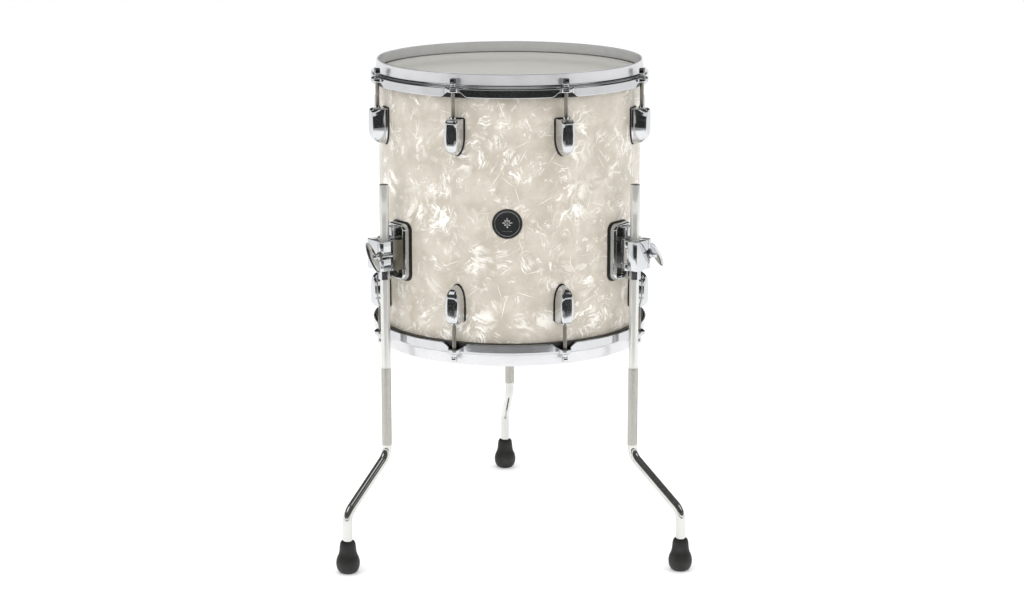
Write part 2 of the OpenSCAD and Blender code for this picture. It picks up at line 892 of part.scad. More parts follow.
shell();
wrap();
badge();
vent_grommet();
batter_film();
batter_flesh_hoop();
batter_hoop();
batter_rod_washers();
batter_rod(1);  // batter_rod_1
batter_rod(2);  // batter_rod_2
batter_rod(3);  // batter_rod_3
batter_rod(4);  // batter_rod_4
batter_rod(5);  // batter_rod_5
batter_rod(6);  // batter_rod_6
batter_rod(7);  // batter_rod_7
batter_rod(8);  // batter_rod_8
resonant_film();
resonant_flesh_hoop();
resonant_hoop();
resonant_rod_washers();
resonant_rod(1);  // resonant_rod_1
resonant_rod(2);  // resonant_rod_2
resonant_rod(3);  // resonant_rod_3
resonant_rod(4);  // resonant_rod_4
resonant_rod(5);  // resonant_rod_5
resonant_rod(6);  // resonant_rod_6
resonant_rod(7);  // resonant_rod_7
resonant_rod(8);  // resonant_rod_8
batter_lugs();
resonant_lugs();
lug_gaskets();
lug_inserts();
lug_screws();
lug_screw_washers();
bracket_bases();
bracket_gaskets();
bracket_screws();
bracket_screw_washers();
jaw_pins();
clamp_jaw_left();
clamp_jaw_right();
clamp_jaw_rear();
wing_washer_left();
wing_washer_right();
wing_washer_rear();
wing_screw_left();
wing_screw_right();
wing_screw_rear();
memory_lock_left();
memory_lock_right();
memory_lock_rear();
lock_screw_left();
lock_screw_right();
lock_screw_rear();
leg_left();
leg_right();
leg_rear();
foot_left();
foot_right();
foot_rear();
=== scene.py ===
"""Looks of the floor tom: chrome, pearl wrap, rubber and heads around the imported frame. Metres, +Z up."""

import json
import math

import bpy
from mathutils import Matrix, Vector

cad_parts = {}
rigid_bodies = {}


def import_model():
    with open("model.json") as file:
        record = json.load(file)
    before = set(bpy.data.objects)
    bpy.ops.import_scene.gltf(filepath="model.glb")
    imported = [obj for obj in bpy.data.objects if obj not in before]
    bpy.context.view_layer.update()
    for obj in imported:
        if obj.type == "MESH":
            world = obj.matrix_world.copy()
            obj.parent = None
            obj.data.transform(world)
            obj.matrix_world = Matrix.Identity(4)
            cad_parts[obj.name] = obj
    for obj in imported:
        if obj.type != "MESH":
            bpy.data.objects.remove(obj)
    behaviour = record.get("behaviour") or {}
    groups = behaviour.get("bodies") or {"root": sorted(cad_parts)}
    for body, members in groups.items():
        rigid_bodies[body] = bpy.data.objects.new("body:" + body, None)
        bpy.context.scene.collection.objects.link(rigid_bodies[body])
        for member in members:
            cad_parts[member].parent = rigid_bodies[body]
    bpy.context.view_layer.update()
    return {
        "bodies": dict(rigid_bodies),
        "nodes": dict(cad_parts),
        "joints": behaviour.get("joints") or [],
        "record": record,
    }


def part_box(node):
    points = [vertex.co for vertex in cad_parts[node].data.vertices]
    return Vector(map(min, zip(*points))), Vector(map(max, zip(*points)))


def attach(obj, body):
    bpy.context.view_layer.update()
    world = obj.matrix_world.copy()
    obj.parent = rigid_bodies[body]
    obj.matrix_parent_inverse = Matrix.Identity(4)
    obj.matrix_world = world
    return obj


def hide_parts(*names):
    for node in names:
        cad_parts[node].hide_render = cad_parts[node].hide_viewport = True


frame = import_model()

MM = 0.001
TAU = 2 * math.pi
NODES = frame["nodes"]
JOINTS = {j["name"]: j for j in frame["joints"]}

# --- dimensions, from the frame

WRAP_LO, WRAP_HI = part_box("wrap")
SHELL_R = WRAP_HI.x
MID_Z = (WRAP_LO.z + WRAP_HI.z) / 2
RIM_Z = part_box("batter_hoop")[1].z - MID_Z
ROD_LO, ROD_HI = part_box("batter_rod_1")
ROD_CENTRE = (ROD_LO + ROD_HI) / 2
ROD_CIRCLE = math.hypot(ROD_CENTRE.x, ROD_CENTRE.y)
ROD_TOP = ROD_HI.z - MID_Z
ROD_LOW = ROD_LO.z - MID_Z
ROD_COUNT = 8
ROD_STEP = 360 / ROD_COUNT
ROD_ANGLES = [ROD_STEP * (i + 0.5) for i in range(ROD_COUNT)]
LUG_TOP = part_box("batter_lugs")[1].z - MID_Z
LUG_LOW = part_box("batter_lugs")[0].z - MID_Z
REST_R = SHELL_R + 1.55 * MM
BADGE_LO, BADGE_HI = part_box("badge")
BADGE_R = (BADGE_HI.x - BADGE_LO.x) / 2
BADGE_Z = (BADGE_HI.z + BADGE_LO.z) / 2
BADGE_TURN = math.atan2((BADGE_HI.x + BADGE_LO.x) / 2, -BADGE_LO.y)
LEG_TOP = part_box("leg_left")[1].z
LEG_R = 6.35 * MM
CLAMP_Z = JOINTS["wing_left_turn"]["pos_m"][2]
PLATE_LO, PLATE_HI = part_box("bracket_gaskets")
PLATE_Z = (PLATE_LO.z + PLATE_HI.z) / 2


def bearing(x, y):
    """Angle in degrees from the front (-Y), positive towards +X."""
    return math.degrees(math.atan2(x, -y))


LEG_NAMES = ["left", "right", "rear"]
LEG_POS = {n: JOINTS[f"leg_{n}_turn"]["pos_m"] for n in LEG_NAMES}
LEG_BEARING = {n: bearing(p[0], p[1]) for n, p in LEG_POS.items()}
LEG_AXIS = math.hypot(LEG_POS["left"][0], LEG_POS["left"][1])


def rest(right):
    """Distance from the drum's axis plane at which a fitting meets its gasket, this far to its side."""
    return math.sqrt(REST_R**2 - right**2)


def foot_centre(name):
    lo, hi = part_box(f"foot_{name}")
    return Vector(((lo.x + hi.x) / 2, (lo.y + hi.y) / 2, 0))


def at_angle(angle):
    """Local +X points out from the drum's axis at this bearing, local +Y to its right."""
    return Matrix.Rotation(math.radians(angle - 90), 4, "Z")


BATTER = Matrix.Translation((0, 0, MID_Z))
RESONANT = BATTER @ Matrix.Scale(-1, 4, (0, 0, 1))
SIDES = (("batter", BATTER), ("resonant", RESONANT))
TO_ROD = Matrix.Translation((ROD_CIRCLE, 0, 0))


# --- mesh building


def make_object(name, verts, faces, material, sharp=35):
    mesh = bpy.data.meshes.new(name)
    mesh.from_pydata([tuple(v) for v in verts], [], [tuple(int(i) for i in f) for f in faces])
    mesh.validate()
    mesh.update()
    mesh.materials.append(material)
    mesh.shade_smooth()
    mesh.set_sharp_from_angle(angle=math.radians(sharp))
    obj = bpy.data.objects.new(name, mesh)
    bpy.context.scene.collection.objects.link(obj)
    return obj


class Part:
    """Gathers closed shells into one mesh."""

    def __init__(self):
        self.verts = []
        self.faces = []

    def add(self, verts, faces, matrix=None):
        base = len(self.verts)
        m = matrix if matrix is not None else Matrix.Identity(4)
        flip = m.to_3x3().determinant() < 0
        self.verts += [m @ Vector(v) for v in verts]
        for f in faces:
            row = [base + i for i in f]
            self.faces.append(row[::-1] if flip else row)

    def copies(self, *places):
        """The same solids at each of these places."""
        whole = Part()
        for matrix in places:
            whole.add(self.verts, self.faces, matrix)
        return whole

    def build(self, name, material, sharp=35):
        return make_object(name, self.verts, self.faces, material, sharp)


def grid(points, close_rows):
    """Quads over closed rows of points; normals point out when the points run anticlockwise."""
    rows, cols = len(points), len(points[0])
    verts = [p for row in points for p in row]
    faces = []
    for i in range(rows if close_rows else rows - 1):
        for j in range(cols):
            a = i * cols + j
            b = i * cols + (j + 1) % cols
            c = ((i + 1) % rows) * cols + (j + 1) % cols
            d = ((i + 1) % rows) * cols + j
            faces.append((a, b, c, d))
    return verts, faces


def loft(rings):
    """A closed tube over rings of points, with flat caps."""
    verts, faces = grid(rings, False)
    n = len(rings[0])
    last = (len(rings) - 1) * n
    faces.append(tuple(range(n))[::-1])
    faces.append(tuple(range(last, last + n)))
    return verts, faces


def ring_of(radius, z, n):
    """Ring of n points about Z whose radius depends on the point's number."""
    ring = []
    for k in range(n):
        r = radius(k)
        ring.append((r * math.cos(TAU * k / n), r * math.sin(TAU * k / n), z))
    return ring


def circle(r, z, n):
    return ring_of(lambda _: r, z, n)


def revolve(profile, n=48):
    """A solid of revolution about Z from (radius, z) points that run from the bottom up."""
    return loft([circle(r, z, n) for r, z in profile])


def arc(cx, cy, r, start, end, n=6):
    steps = [math.radians(start + (end - start) * i / n) for i in range(n + 1)]
    return [(cx + r * math.cos(a), cy + r * math.sin(a)) for a in steps]


def rounded_profile(points, radius):
    """Rounds the corners of an open (radius, z) outline, leaving its ends."""
    out = [points[0]]
    for before, here, after in zip(points, points[1:], points[2:]):
        out += corner(before, here, after, radius)
    return out + [points[-1]]


def rounded_loop(points, radius):
    """Rounds every corner of a closed outline."""
    out = []
    count = len(points)
    for i in range(count):
        out += corner(points[i - 1], points[i], points[(i + 1) % count], radius)
    return out


def corner(before, here, after, radius, n=4):
    """Points of a soft corner that leaves at least a tenth of each side straight."""
    a = Vector(before[:2]) - Vector(here[:2])
    b = Vector(after[:2]) - Vector(here[:2])
    cut = min(radius, a.length * 0.45, b.length * 0.45)
    p = Vector(here[:2]) + a.normalized() * cut
    q = Vector(here[:2]) + b.normalized() * cut
    out = []
    for k in range(n + 1):
        t = k / n
        point = p * (1 - t) ** 2 + Vector(here[:2]) * 2 * t * (1 - t) + q * t**2
        out.append((point.x, point.y))
    return out


def prism(outline, low, high, edge, steps=3):
    """Extrudes an anticlockwise (x, y) outline along Z with rounded top and bottom edges."""
    rings = []
    for k in range(steps + 1):
        a = math.pi / 2 * k / steps
        rings.append(inset_ring(outline, edge * (1 - math.sin(a)), low + edge * (1 - math.cos(a))))
    for k in range(steps + 1):
        a = math.pi / 2 * k / steps
        rings.append(inset_ring(outline, edge * (1 - math.cos(a)), high - edge * (1 - math.sin(a))))
    return loft(rings)


def inset_ring(outline, inset, z):
    out = []
    count = len(outline)
    for i in range(count):
        p = Vector(outline[i])
        a = (p - Vector(outline[i - 1])).normalized()
        b = (Vector(outline[(i + 1) % count]) - p).normalized()
        normal = Vector((-(a + b).y, (a + b).x))
        if normal.length > 1e-9:
            normal.normalize()
            cos_half = max(0.5, normal.dot(Vector((-a.y, a.x))))
            p = p + normal * inset / cos_half
        out.append((p.x, p.y, z))
    return out


def paint(obj, material, chosen):
    """Gives the faces whose centres are chosen another material: another finish, or a lighter or darker copy
    of the chrome that paints light or shade.
    """
    obj.data.materials.append(material)
    for face in obj.data.polygons:
        if chosen(face.center):
            face.material_index = len(obj.data.materials) - 1


def seat(obj, body, slot, *nodes):
    """Puts a piece on its body, in place of these CAD nodes. The slot argument is not used."""
    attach(obj, body)
    for node in nodes:
        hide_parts(node)


def smoothstep(low, high, x):
    t = min(1.0, max(0.0, (x - low) / (high - low)))
    return t * t * (3 - 2 * t)


# --- materials


class Nodes:
    """Adds nodes to a tree, so that a shader reads as a list of steps."""

    def __init__(self, tree):
        self.tree = tree
        self.tree.nodes.clear()

    def node(self, kind, inputs=(), **settings):
        made = self.tree.nodes.new(kind)
        for key, value in settings.items():
            setattr(made, key, value)
        for key, value in dict(inputs).items():
            self.feed(made.inputs[key], value)
        return made

    def feed(self, socket, value):
        if isinstance(value, bpy.types.NodeSocket):
            self.tree.links.new(value, socket)
        else:
            socket.default_value = value

    def math(self, operation, a, b=0.0):
        return self.node("ShaderNodeMath", {0: a, 1: b}, operation=operation).outputs[0]

    def vector(self, operation, a, b=(0, 0, 0)):
        return self.node("ShaderNodeVectorMath", {0: a, 1: b}, operation=operation).outputs[0]

    def scale(self, vector, by):
        return self.vector("MULTIPLY", vector, (by, by, by))

    def split(self, vector):
        return self.node("ShaderNodeSeparateXYZ", {0: vector}).outputs

    def noise(self, vector, scale, detail=3.0, rough=0.55):
        inputs = {"Vector": vector, "Scale": scale, "Detail": detail, "Roughness": rough}
        return self.node("ShaderNodeTexNoise", inputs).outputs

    def remap(self, value, low, high, to_low=0.0, to_high=1.0, smooth=True):
        inputs = {"Value": value, "From Min": low, "From Max": high, "To Min": to_low, "To Max": to_high}
        kind = "SMOOTHSTEP" if smooth else "LINEAR"
        return self.node("ShaderNodeMapRange", inputs, interpolation_type=kind).outputs["Result"]


class Shader(Nodes):
    """The nodes of one material, with its coordinates in the drum's frame."""

    def __init__(self, name):
        self.material = bpy.data.materials.new(name)
        self.material.use_nodes = True
        super().__init__(self.material.node_tree)
        self.output = self.tree.nodes.new("ShaderNodeOutputMaterial")
        self.coords = self.tree.nodes.new("ShaderNodeTexCoord").outputs["Object"]

    def mix(self, factor, a, b):
        made = self.node("ShaderNodeMix", data_type="RGBA")
        self.feed(made.inputs[0], factor)
        self.feed(made.inputs[6], a)
        self.feed(made.inputs[7], b)
        return made.outputs[2]

    def bump(self, height, strength, distance):
        inputs = {"Height": height, "Strength": strength, "Distance": distance}
        return self.node("ShaderNodeBump", inputs).outputs["Normal"]

    def bsdf(self, **inputs):
        names = {k.replace("_", " "): v for k, v in inputs.items()}
        return self.node("ShaderNodeBsdfPrincipled", names).outputs[0]

    def surface(self, **inputs):
        self.tree.links.new(self.bsdf(**inputs), self.output.inputs["Surface"])
        return self.material

    def blend(self, share, first, second):
        mixed = self.node("ShaderNodeMixShader", {0: share, 1: first, 2: second})
        self.tree.links.new(mixed.outputs[0], self.output.inputs["Surface"])
        return self.material


def shade(colour, gain):
    return tuple(c * gain for c in colour[:3]) + (1,)


def rgb(hex_code):
    """Linear colour from an sRGB hex code."""
    parts = [int(hex_code[i : i + 2], 16) / 255 for i in (0, 2, 4)]
    return tuple(p / 12.92 if p <= 0.04045 else ((p + 0.055) / 1.055) ** 2.4 for p in parts) + (1.0,)


def chrome(name, tint="d4d6d8", rough=0.05, wave=0.02, haze=0.0, metal=1.0):
    """Plated metal with faint polishing waves, finger-marked gloss and a share of milky haze; with metal
    below 1 the haze is partly a diffuse white, painted light that lightens the reflections.
    """
    s = Shader(name)
    marks = s.noise(s.coords, 45, 4)[0]
    grain = s.noise(s.coords, 900, 2)[0]
    gloss = s.remap(marks, 0.35, 0.75, rough, rough + 0.06)
    gloss = s.math("ADD", gloss, s.math("MULTIPLY", grain, 0.015))
    swell = s.noise(s.coords, 60, 1)[0]
    colour = s.mix(s.remap(marks, 0.4, 0.8), rgb(tint), shade(rgb(tint), 0.93))
    bump = s.bump(swell, wave, 0.002)
    clear = s.bsdf(Base_Color=colour, Metallic=1.0, Roughness=gloss, Normal=bump)
    # With metal below 1 this milky layer is partly a diffuse white: painted light.
    milky = s.bsdf(Base_Color=colour, Metallic=metal, Roughness=0.5, Normal=bump)
    share = s.remap(marks, 0.3, 0.7, haze * 0.92, haze * 1.08)
    return s.blend(share, clear, milky)


def satin_metal(name, tint="a9a9a6", rough=0.34):
    """Bare or knurled metal with fine scratches."""
    s = Shader(name)
    stretched = s.vector("MULTIPLY", s.coords, (900.0, 900.0, 160.0))
    scratch = s.noise(stretched, 1.0, 3)[0]
    colour = s.mix(scratch, rgb(tint), shade(rgb(tint), 0.78))
    return s.surface(
        Base_Color=colour,
        Metallic=1.0,
        Roughness=s.remap(scratch, 0.3, 0.7, rough - 0.06, rough + 0.08),
        Normal=s.bump(scratch, 0.15, 0.0004),
    )


def rubber(name, tint="1c1c1b", rough=0.62):
    """Matt moulded rubber with a fine pebble and rubbed high spots."""
    s = Shader(name)
    pebble = s.noise(s.coords, 1400, 3)[0]
    rubbed = s.noise(s.coords, 70, 5)[0]
    colour = s.mix(s.remap(rubbed, 0.45, 0.75), rgb(tint), shade(rgb(tint), 1.9))
    return s.surface(
        Base_Color=colour,
        Roughness=s.remap(rubbed, 0.3, 0.8, rough, rough - 0.14),
        Normal=s.bump(pebble, 0.25, 0.0003),
    )


def film(name):
    """Hazy drum film with a faint sprayed grain."""
    s = Shader(name)
    grain = s.noise(s.coords, 1500, 2)[0]
    haze = s.noise(s.coords, 9, 3)[0]
    colour = s.mix(haze, rgb("a9a8a0"), rgb("b4b3ab"))
    return s.surface(
        Base_Color=colour,
        Roughness=s.remap(grain, 0.3, 0.7, 0.16, 0.26),
        Normal=s.bump(grain, 0.05, 0.0002),
    )


def wood(name):
    """Pale maple with grain running round the shell and thin ply lines on the cut edge."""
    s = Shader(name)
    x, y, z = s.split(s.coords)
    radius = s.math("SQRT", s.math("ADD", s.math("MULTIPLY", x, x), s.math("MULTIPLY", y, y)))
    ply = s.math("FRACT", s.math("MULTIPLY", radius, 850.0))
    line = s.remap(ply, 0.82, 0.9)
    grain = s.noise(s.vector("MULTIPLY", s.coords, (14.0, 14.0, 260.0)), 1.0, 4)[0]
    colour = s.mix(grain, rgb("d9b88a"), rgb("b98f5e"))
    colour = s.mix(s.math("MULTIPLY", line, 0.35), colour, rgb("7f5a34"))
    return s.surface(Base_Color=colour, Roughness=0.5, Normal=s.bump(grain, 0.12, 0.0003))


def badge_enamel(name, tint):
    s = Shader(name)
    speck = s.noise(s.coords, 2400, 2)[0]
    colour = s.mix(speck, rgb(tint), shade(rgb(tint), 1.4))
    return s.surface(Base_Color=colour, Roughness=0.35, Coat_Weight=0.3,
                     Normal=s.bump(speck, 0.06, 0.0002))


def pearl(name):
    """Mother-of-pearl sheet: cream clouds with feathery bright flakes that lie in every direction; the
    flakes are white in colour and also glow by emission, painted light.
    """
    s = Shader(name)
    x, y, z = s.split(s.coords)
    turn = s.math("ARCTAN2", x, s.math("MULTIPLY", y, -1.0))
    along = s.math("MULTIPLY", turn, SHELL_R)
    flat = s.node("ShaderNodeCombineXYZ", {0: along, 1: z, 2: 0.0}).outputs[0]
    clouds = s.noise(flat, 26, 4, 0.6)[0]
    ripple = s.noise(flat, 120, 4, 0.65)[0]
    base = s.mix(s.remap(clouds, 0.35, 0.65), rgb("beb6a8"), rgb("d0c8bb"))
    base = s.mix(s.remap(ripple, 0.5, 0.78, 0.0, 0.5), base, rgb("b8ae9b"))
    fans = [(44.0, 3.2, 0.0, 0.46, 0.75), (24.0, 4.5, 5.3, 0.5, 0.75), (12.0, 3.5, 3.7, 0.58, 0.55)]
    glow = 0.0
    for cell_mm, stretch, seed, rarity, gain in fans:
        fan = flakes(s, flat, cell_mm, stretch, seed, rarity)
        glow = s.math("MAXIMUM", glow, s.math("MULTIPLY", fan, gain))
    patch = s.remap(s.noise(flat, 12, 2)[0], 0.34, 0.56)
    glow = s.math("MULTIPLY", glow, s.math("ADD", s.math("MULTIPLY", patch, 0.75), 0.25))
    for cell_mm, seed in ((36.0, 8.1), (27.0, 2.3), (31.0, 6.6)):
        glow = s.math("MAXIMUM", glow, s.math("MULTIPLY", needles(s, flat, cell_mm, seed), 0.55))
    colour = s.mix(glow, base, rgb("fffefa"))
    return s.surface(
        Base_Color=colour,
        Roughness=s.remap(glow, 0.0, 1.0, 0.42, 0.28),
        Coat_Weight=0.45,
        Coat_Roughness=0.08,
        # The flakes glow faintly by emission: painted light.
        Emission_Color=rgb("fff8ee"),
        Emission_Strength=s.math("MULTIPLY", glow, 0.12),
    )


def cell_frame(s, flat, cell_mm, seed, bend):
    """Voronoi cells of this size: the cell, its random colour, and the place in it turned its own way."""
    shifted = s.vector("ADD", flat, (seed, seed * 0.7, 0.0))
    warp = s.noise(shifted, 1500 / cell_mm, 3)[1]
    warp = s.scale(s.vector("SUBTRACT", warp, (0.5, 0.5, 0.5)), bend)
    place = s.vector("ADD", s.scale(shifted, 1000 / cell_mm), warp)
    cell = s.node("ShaderNodeTexVoronoi", {"Vector": place, "Scale": 1.0}, voronoi_dimensions="2D").outputs
    chance = s.node("ShaderNodeSeparateColor", {0: cell["Color"]}).outputs
    local = s.vector("SUBTRACT", place, cell["Position"])
    inputs = {"Vector": local, "Angle": s.math("MULTIPLY", chance[0], TAU)}
    turned = s.node("ShaderNodeVectorRotate", inputs, rotation_type="Z_AXIS").outputs[0]
    return cell, chance, turned


def flakes(s, flat, cell_mm, stretch, seed, rarity):
    """Feathery fans: each cell is streaked in its own direction, and only some cells glow."""
    cell, chance, turned = cell_frame(s, flat, cell_mm, seed, 0.75)
    drawn = s.vector("MULTIPLY", turned, (0.8, stretch, 1.0))
    drawn = s.vector("ADD", drawn, s.scale(cell["Color"], 17.0))
    streak = s.remap(s.noise(drawn, 1.6, 3, 0.6)[0], 0.47, 0.62)
    fade = s.remap(cell["Distance"], 0.22, 0.62, 1.0, 0.0)
    gate = s.remap(chance[1], rarity, rarity + 0.22)
    return s.math("MULTIPLY", s.math("MULTIPLY", streak, fade), gate)


def needles(s, flat, cell_mm, seed):
    """Straight thin splinters, one in some of the cells."""
    cell, chance, turned = cell_frame(s, flat, cell_mm, seed, 0.03)
    across = s.math("ABSOLUTE", s.split(turned)[1])
    line = s.remap(across, 0.006, 0.022, 1.0, 0.0)
    fade = s.remap(cell["Distance"], 0.08, 0.5, 1.0, 0.0)
    gate = s.remap(chance[2], 0.62, 0.9)
    return s.math("MULTIPLY", s.math("MULTIPLY", line, fade), gate)


CHROME = chrome("chrome_plate", wave=0.003, haze=0.04)
# Leg chrome: mostly a half-metal milky layer whose diffuse white is painted light, lightening the legs' dark
# reflections.
LEG_PAINTED_LIGHT_CHROME = chrome("leg_chrome", "e4e4e0", 0.07, 0.004, 0.7, 0.45)
HOOP_CHROME = chrome("hoop_chrome", "cfd0d2", 0.05, 0.003, 0.03)
BEND_CHROME = chrome("leg_bend_chrome", "dededb", 0.06, 0.004, 0.1)
# Hoop collar band: a lighter, milkier copy of the hoop chrome, painted light on the collar.
COLLAR_PAINTED_LIGHT_CHROME = chrome("collar_painted_light_chrome", "e3e3e5", 0.16, 0.0, 0.45, 0.5)
# Darker chrome for one flank of the clamp tower: painted shade.
TOWER_PAINTED_SHADE_CHROME = chrome("tower_painted_shade_chrome", "77756d", 0.1, 0.003, 0.1)
# Dark chrome for the rod heads: a painted dark reflection on their faces.
HEAD_PAINTED_DARK_CHROME = chrome("rod_head_painted_dark_chrome", "5c5d60", 0.08)
# Darker chrome for the dish of the bracket plate: painted shade in the recess.
DISH_PAINTED_SHADE_CHROME = chrome("dish_painted_shade_chrome", "85837b", 0.12, 0.003, 0.1)
ROD_ZINC = satin_metal("rod_zinc", "a8a49b", 0.36)
KNURL = satin_metal("leg_knurl", "b3b1a8", 0.32)
STEEL = satin_metal("steel_plain", "8f8f8c", 0.34)
DARK_STEEL = satin_metal("dark_steel", "5a5a58", 0.3)
DARK_ALLOY = satin_metal("hoop_alloy", "4a4a49", 0.4)
GASKET = rubber("gasket_rubber", "121211", 0.55)
FOOT_RUBBER = rubber("foot_rubber", "1a1a19", 0.6)
FILM = film("drum_film")
WOOD = wood("shell_wood")
PEARL = pearl("pearl_wrap")
BADGE_BLACK = badge_enamel("badge_black", "17181a")
BADGE_SILVER = satin_metal("badge_silver", "cfcfca", 0.28)


def dress_cad_nodes():
    """Carried-over CAD nodes keep their shape and take a finish."""
    finishes = {
        "shell": WOOD,
        "wrap": PEARL,
        "vent_grommet": CHROME,
        "batter_film": FILM,
        "resonant_film": FILM,
        "batter_flesh_hoop": DARK_ALLOY,
        "resonant_flesh_hoop": DARK_ALLOY,
        "batter_rod_washers": STEEL,
        "resonant_rod_washers": STEEL,
        "lug_gaskets": GASKET,
        "lug_inserts": CHROME,
        "lug_screws": DARK_STEEL,
        "lug_screw_washers": STEEL,
        "bracket_gaskets": GASKET,
        "bracket_screws": DARK_STEEL,
        "bracket_screw_washers": STEEL,
        "jaw_pins": STEEL,
    }
    for name in LEG_NAMES:
        finishes[f"wing_washer_{name}"] = STEEL
        finishes[f"lock_screw_{name}"] = DARK_STEEL
        finishes[f"memory_lock_{name}"] = CHROME
    for name, material in finishes.items():
        mesh = NODES[name].data
        mesh.materials.clear()
        mesh.materials.append(material)


# --- hoops

HOOP_T = 2.3 * MM
HOOP_LEAN = math.radians(5.5)
COLLAR_H = 13.1 * MM
FILLET_R = 4.15 * MM
SHOULDER_R = 1.9 * MM
EAR_R = 8.5 * MM
EAR_HOLE_R = 3.1 * MM
SKIRT_R = 187.45 * MM
COLLAR_TOP_R = 178.8 * MM
COLLAR_OUT = 183.0 * MM
COLLAR_LOW = RIM_Z - 14.5 * MM
SKIRT_LOW = RIM_Z - 30.6 * MM
EAR_LOW = RIM_Z - 23.3 * MM


def ear_share(w):
    """1 on an ear and 0 on the plain skirt."""
    return 1 - smoothstep(7.2 * MM, 12.5 * MM, w)


def hoop_centreline(w):
    """Middle of the sheet as ((radius, height), heading), from the rim down to the free edge."""
    heading = -math.pi / 2 + HOOP_LEAN
    point = Vector((COLLAR_TOP_R, RIM_Z - HOOP_T / 2))
    line = [(point.copy(), heading)]

    def straight(length):
        """A flat run with close stations at both ends, so that its shading stays flat."""
        nonlocal point
        start, along = point, Vector((math.cos(heading), math.sin(heading)))
        edge = min(0.12 * MM, length / 5)
        for done in (edge, length / 2, length - edge, length):
            point = start + along * done
            line.append((point.copy(), heading))

    def turn(radius, angle, steps):
        nonlocal point, heading
        for _ in range(steps):
            half = angle / steps / 2
            heading += half
            along = Vector((math.cos(heading), math.sin(heading)))
            point = point + along * 2 * radius * math.sin(abs(half))
            heading += half
            line.append((point.copy(), heading))

    share = ear_share(w)
    ear_out = ROD_CIRCLE - HOOP_T / 2 + math.sqrt(max(0.0, EAR_R**2 - w**2))
    out = SKIRT_R + max(0.0, ear_out - SKIRT_R) * share
    free_edge = EAR_LOW + (SKIRT_LOW - EAR_LOW) * smoothstep(5.5 * MM, 19.5 * MM, w)
    straight(COLLAR_H)
    turn(FILLET_R, math.pi / 2 - HOOP_LEAN, 7)
    straight(max(0.05 * MM, out - SHOULDER_R - point.x))
    turn(SHOULDER_R, -math.pi / 2, 7)
    straight(max(0.3 * MM, point.y - free_edge - HOOP_T / 2))
    return line


def hoop_profile(offset):
    """Closed loop of (radius, height) at this distance along the hoop from the nearest rod."""
    line = hoop_centreline(abs(offset))
    half = HOOP_T / 2
    outer, inner = [], []
    for point, heading in line:
        normal = Vector((-math.sin(heading), math.cos(heading)))
        outer.append(point + normal * half)
        inner.append(point - normal * half)
    rim = sheet_lip(line[0], (-135, 180, 135), half)
    lip = sheet_lip(line[-1], (60, 25, 0, -25, -60), half)
    return [(p.x, p.y) for p in outer + lip + inner[::-1] + rim]


def sheet_lip(end, angles, half):
    point, heading = end
    turns = [heading + math.radians(d) for d in angles]
    return [point + Vector((math.cos(a), math.sin(a))) * half for a in turns]


def hoop_part():
    """One counterhoop above the middle of the shell."""
    rows = []
    near, far, fine, coarse = 25 * MM, ROD_CIRCLE * math.radians(ROD_STEP / 2), 64, 10
    offsets = [-far + (far - near) * i / coarse for i in range(coarse)]
    offsets += [-near + 2 * near * i / fine for i in range(fine)]
    offsets += [near + (far - near) * i / coarse for i in range(coarse)]
    profiles = [hoop_profile(w) for w in offsets]
    for angle in ROD_ANGLES:
        for w, profile in zip(offsets, profiles):
            a = math.radians(angle - 90) + w / ROD_CIRCLE
            rows.append([(r * math.cos(a), r * math.sin(a), z) for r, z in profile])
    part = Part()
    part.add(*grid(rows, True))
    return part


def cut_rod_holes(obj, to_world):
    """Drills the eight ears."""
    cutter = Part()
    for angle in ROD_ANGLES:
        hole = revolve([(EAR_HOLE_R, ROD_TOP - 22 * MM), (EAR_HOLE_R, ROD_TOP - 5 * MM)], 32)
        cutter.add(*hole, to_world @ at_angle(angle) @ TO_ROD)
    tool = cutter.build(obj.name + "_cutter", HOOP_CHROME)
    modifier = obj.modifiers.new("holes", "BOOLEAN")
    modifier.operation = "DIFFERENCE"
    modifier.object = tool
    modifier.solver = "EXACT"
    bpy.context.view_layer.update()
    graph = bpy.context.evaluated_depsgraph_get()
    cut = bpy.data.meshes.new_from_object(obj.evaluated_get(graph))
    obj.modifiers.clear()
    obj.data = cut
    bpy.data.objects.remove(tool)
    cut.shade_smooth()
    cut.set_sharp_from_angle(angle=math.radians(35))


def build_hoops():
    part = hoop_part()
    for side, half_frame in SIDES:
        obj = part.copies(half_frame).build(f"{side}_hoop_chrome", HOOP_CHROME)
        cut_rod_holes(obj, half_frame)
        # The collar band is painted lighter than the rest of the hoop: painted light.
        paint(obj, COLLAR_PAINTED_LIGHT_CHROME, lambda p: p.xy.length < COLLAR_OUT and abs(p.z - MID_Z) > COLLAR_LOW)
        seat(obj, f"{side}_head", "chrome_plate", f"{side}_hoop")


# --- tension rods

ROD_R = 2.7 * MM
THREAD_PITCH = 1.058 * MM
THREAD_DEPTH = 0.3 * MM
THREAD_LENGTH = 30 * MM
THREAD_AROUND = 20
RINGS_PER_TURN = 6
COLLAR_R = 4.2 * MM
HEAD_HALF = 3.175 * MM
HEAD_H = 6.6 * MM


def thread_rings(start, length, pitch, crest_r, depth, run_out=0):
    """A cylinder whose surface rises and falls along a helix, easing out over its last rings."""
    count = int(length / pitch * RINGS_PER_TURN)
    rings = []
    for i in range(count + 1):
        fade = smoothstep(0, run_out, count - i) if run_out else 1.0

        def radius(k):
            phase = (i / RINGS_PER_TURN - k / THREAD_AROUND) % 1.0
            return crest_r - depth * abs(2 * phase - 1) * fade

        rings.append(ring_of(radius, start + i * pitch / RINGS_PER_TURN, THREAD_AROUND))
    return rings


def rounded_square(half, radius, z, n):
    """A square with rounded corners, as n points that start on the +X side."""
    ring = []
    for k in range(n):
        a = TAU * (k + 0.5) / n
        c, s = math.cos(a), math.sin(a)
        p = 2 / max(0.06, radius)
        scale = (abs(c) ** p + abs(s) ** p) ** (-1 / p)
        ring.append((half * scale * c, half * scale * s, z))
    return ring


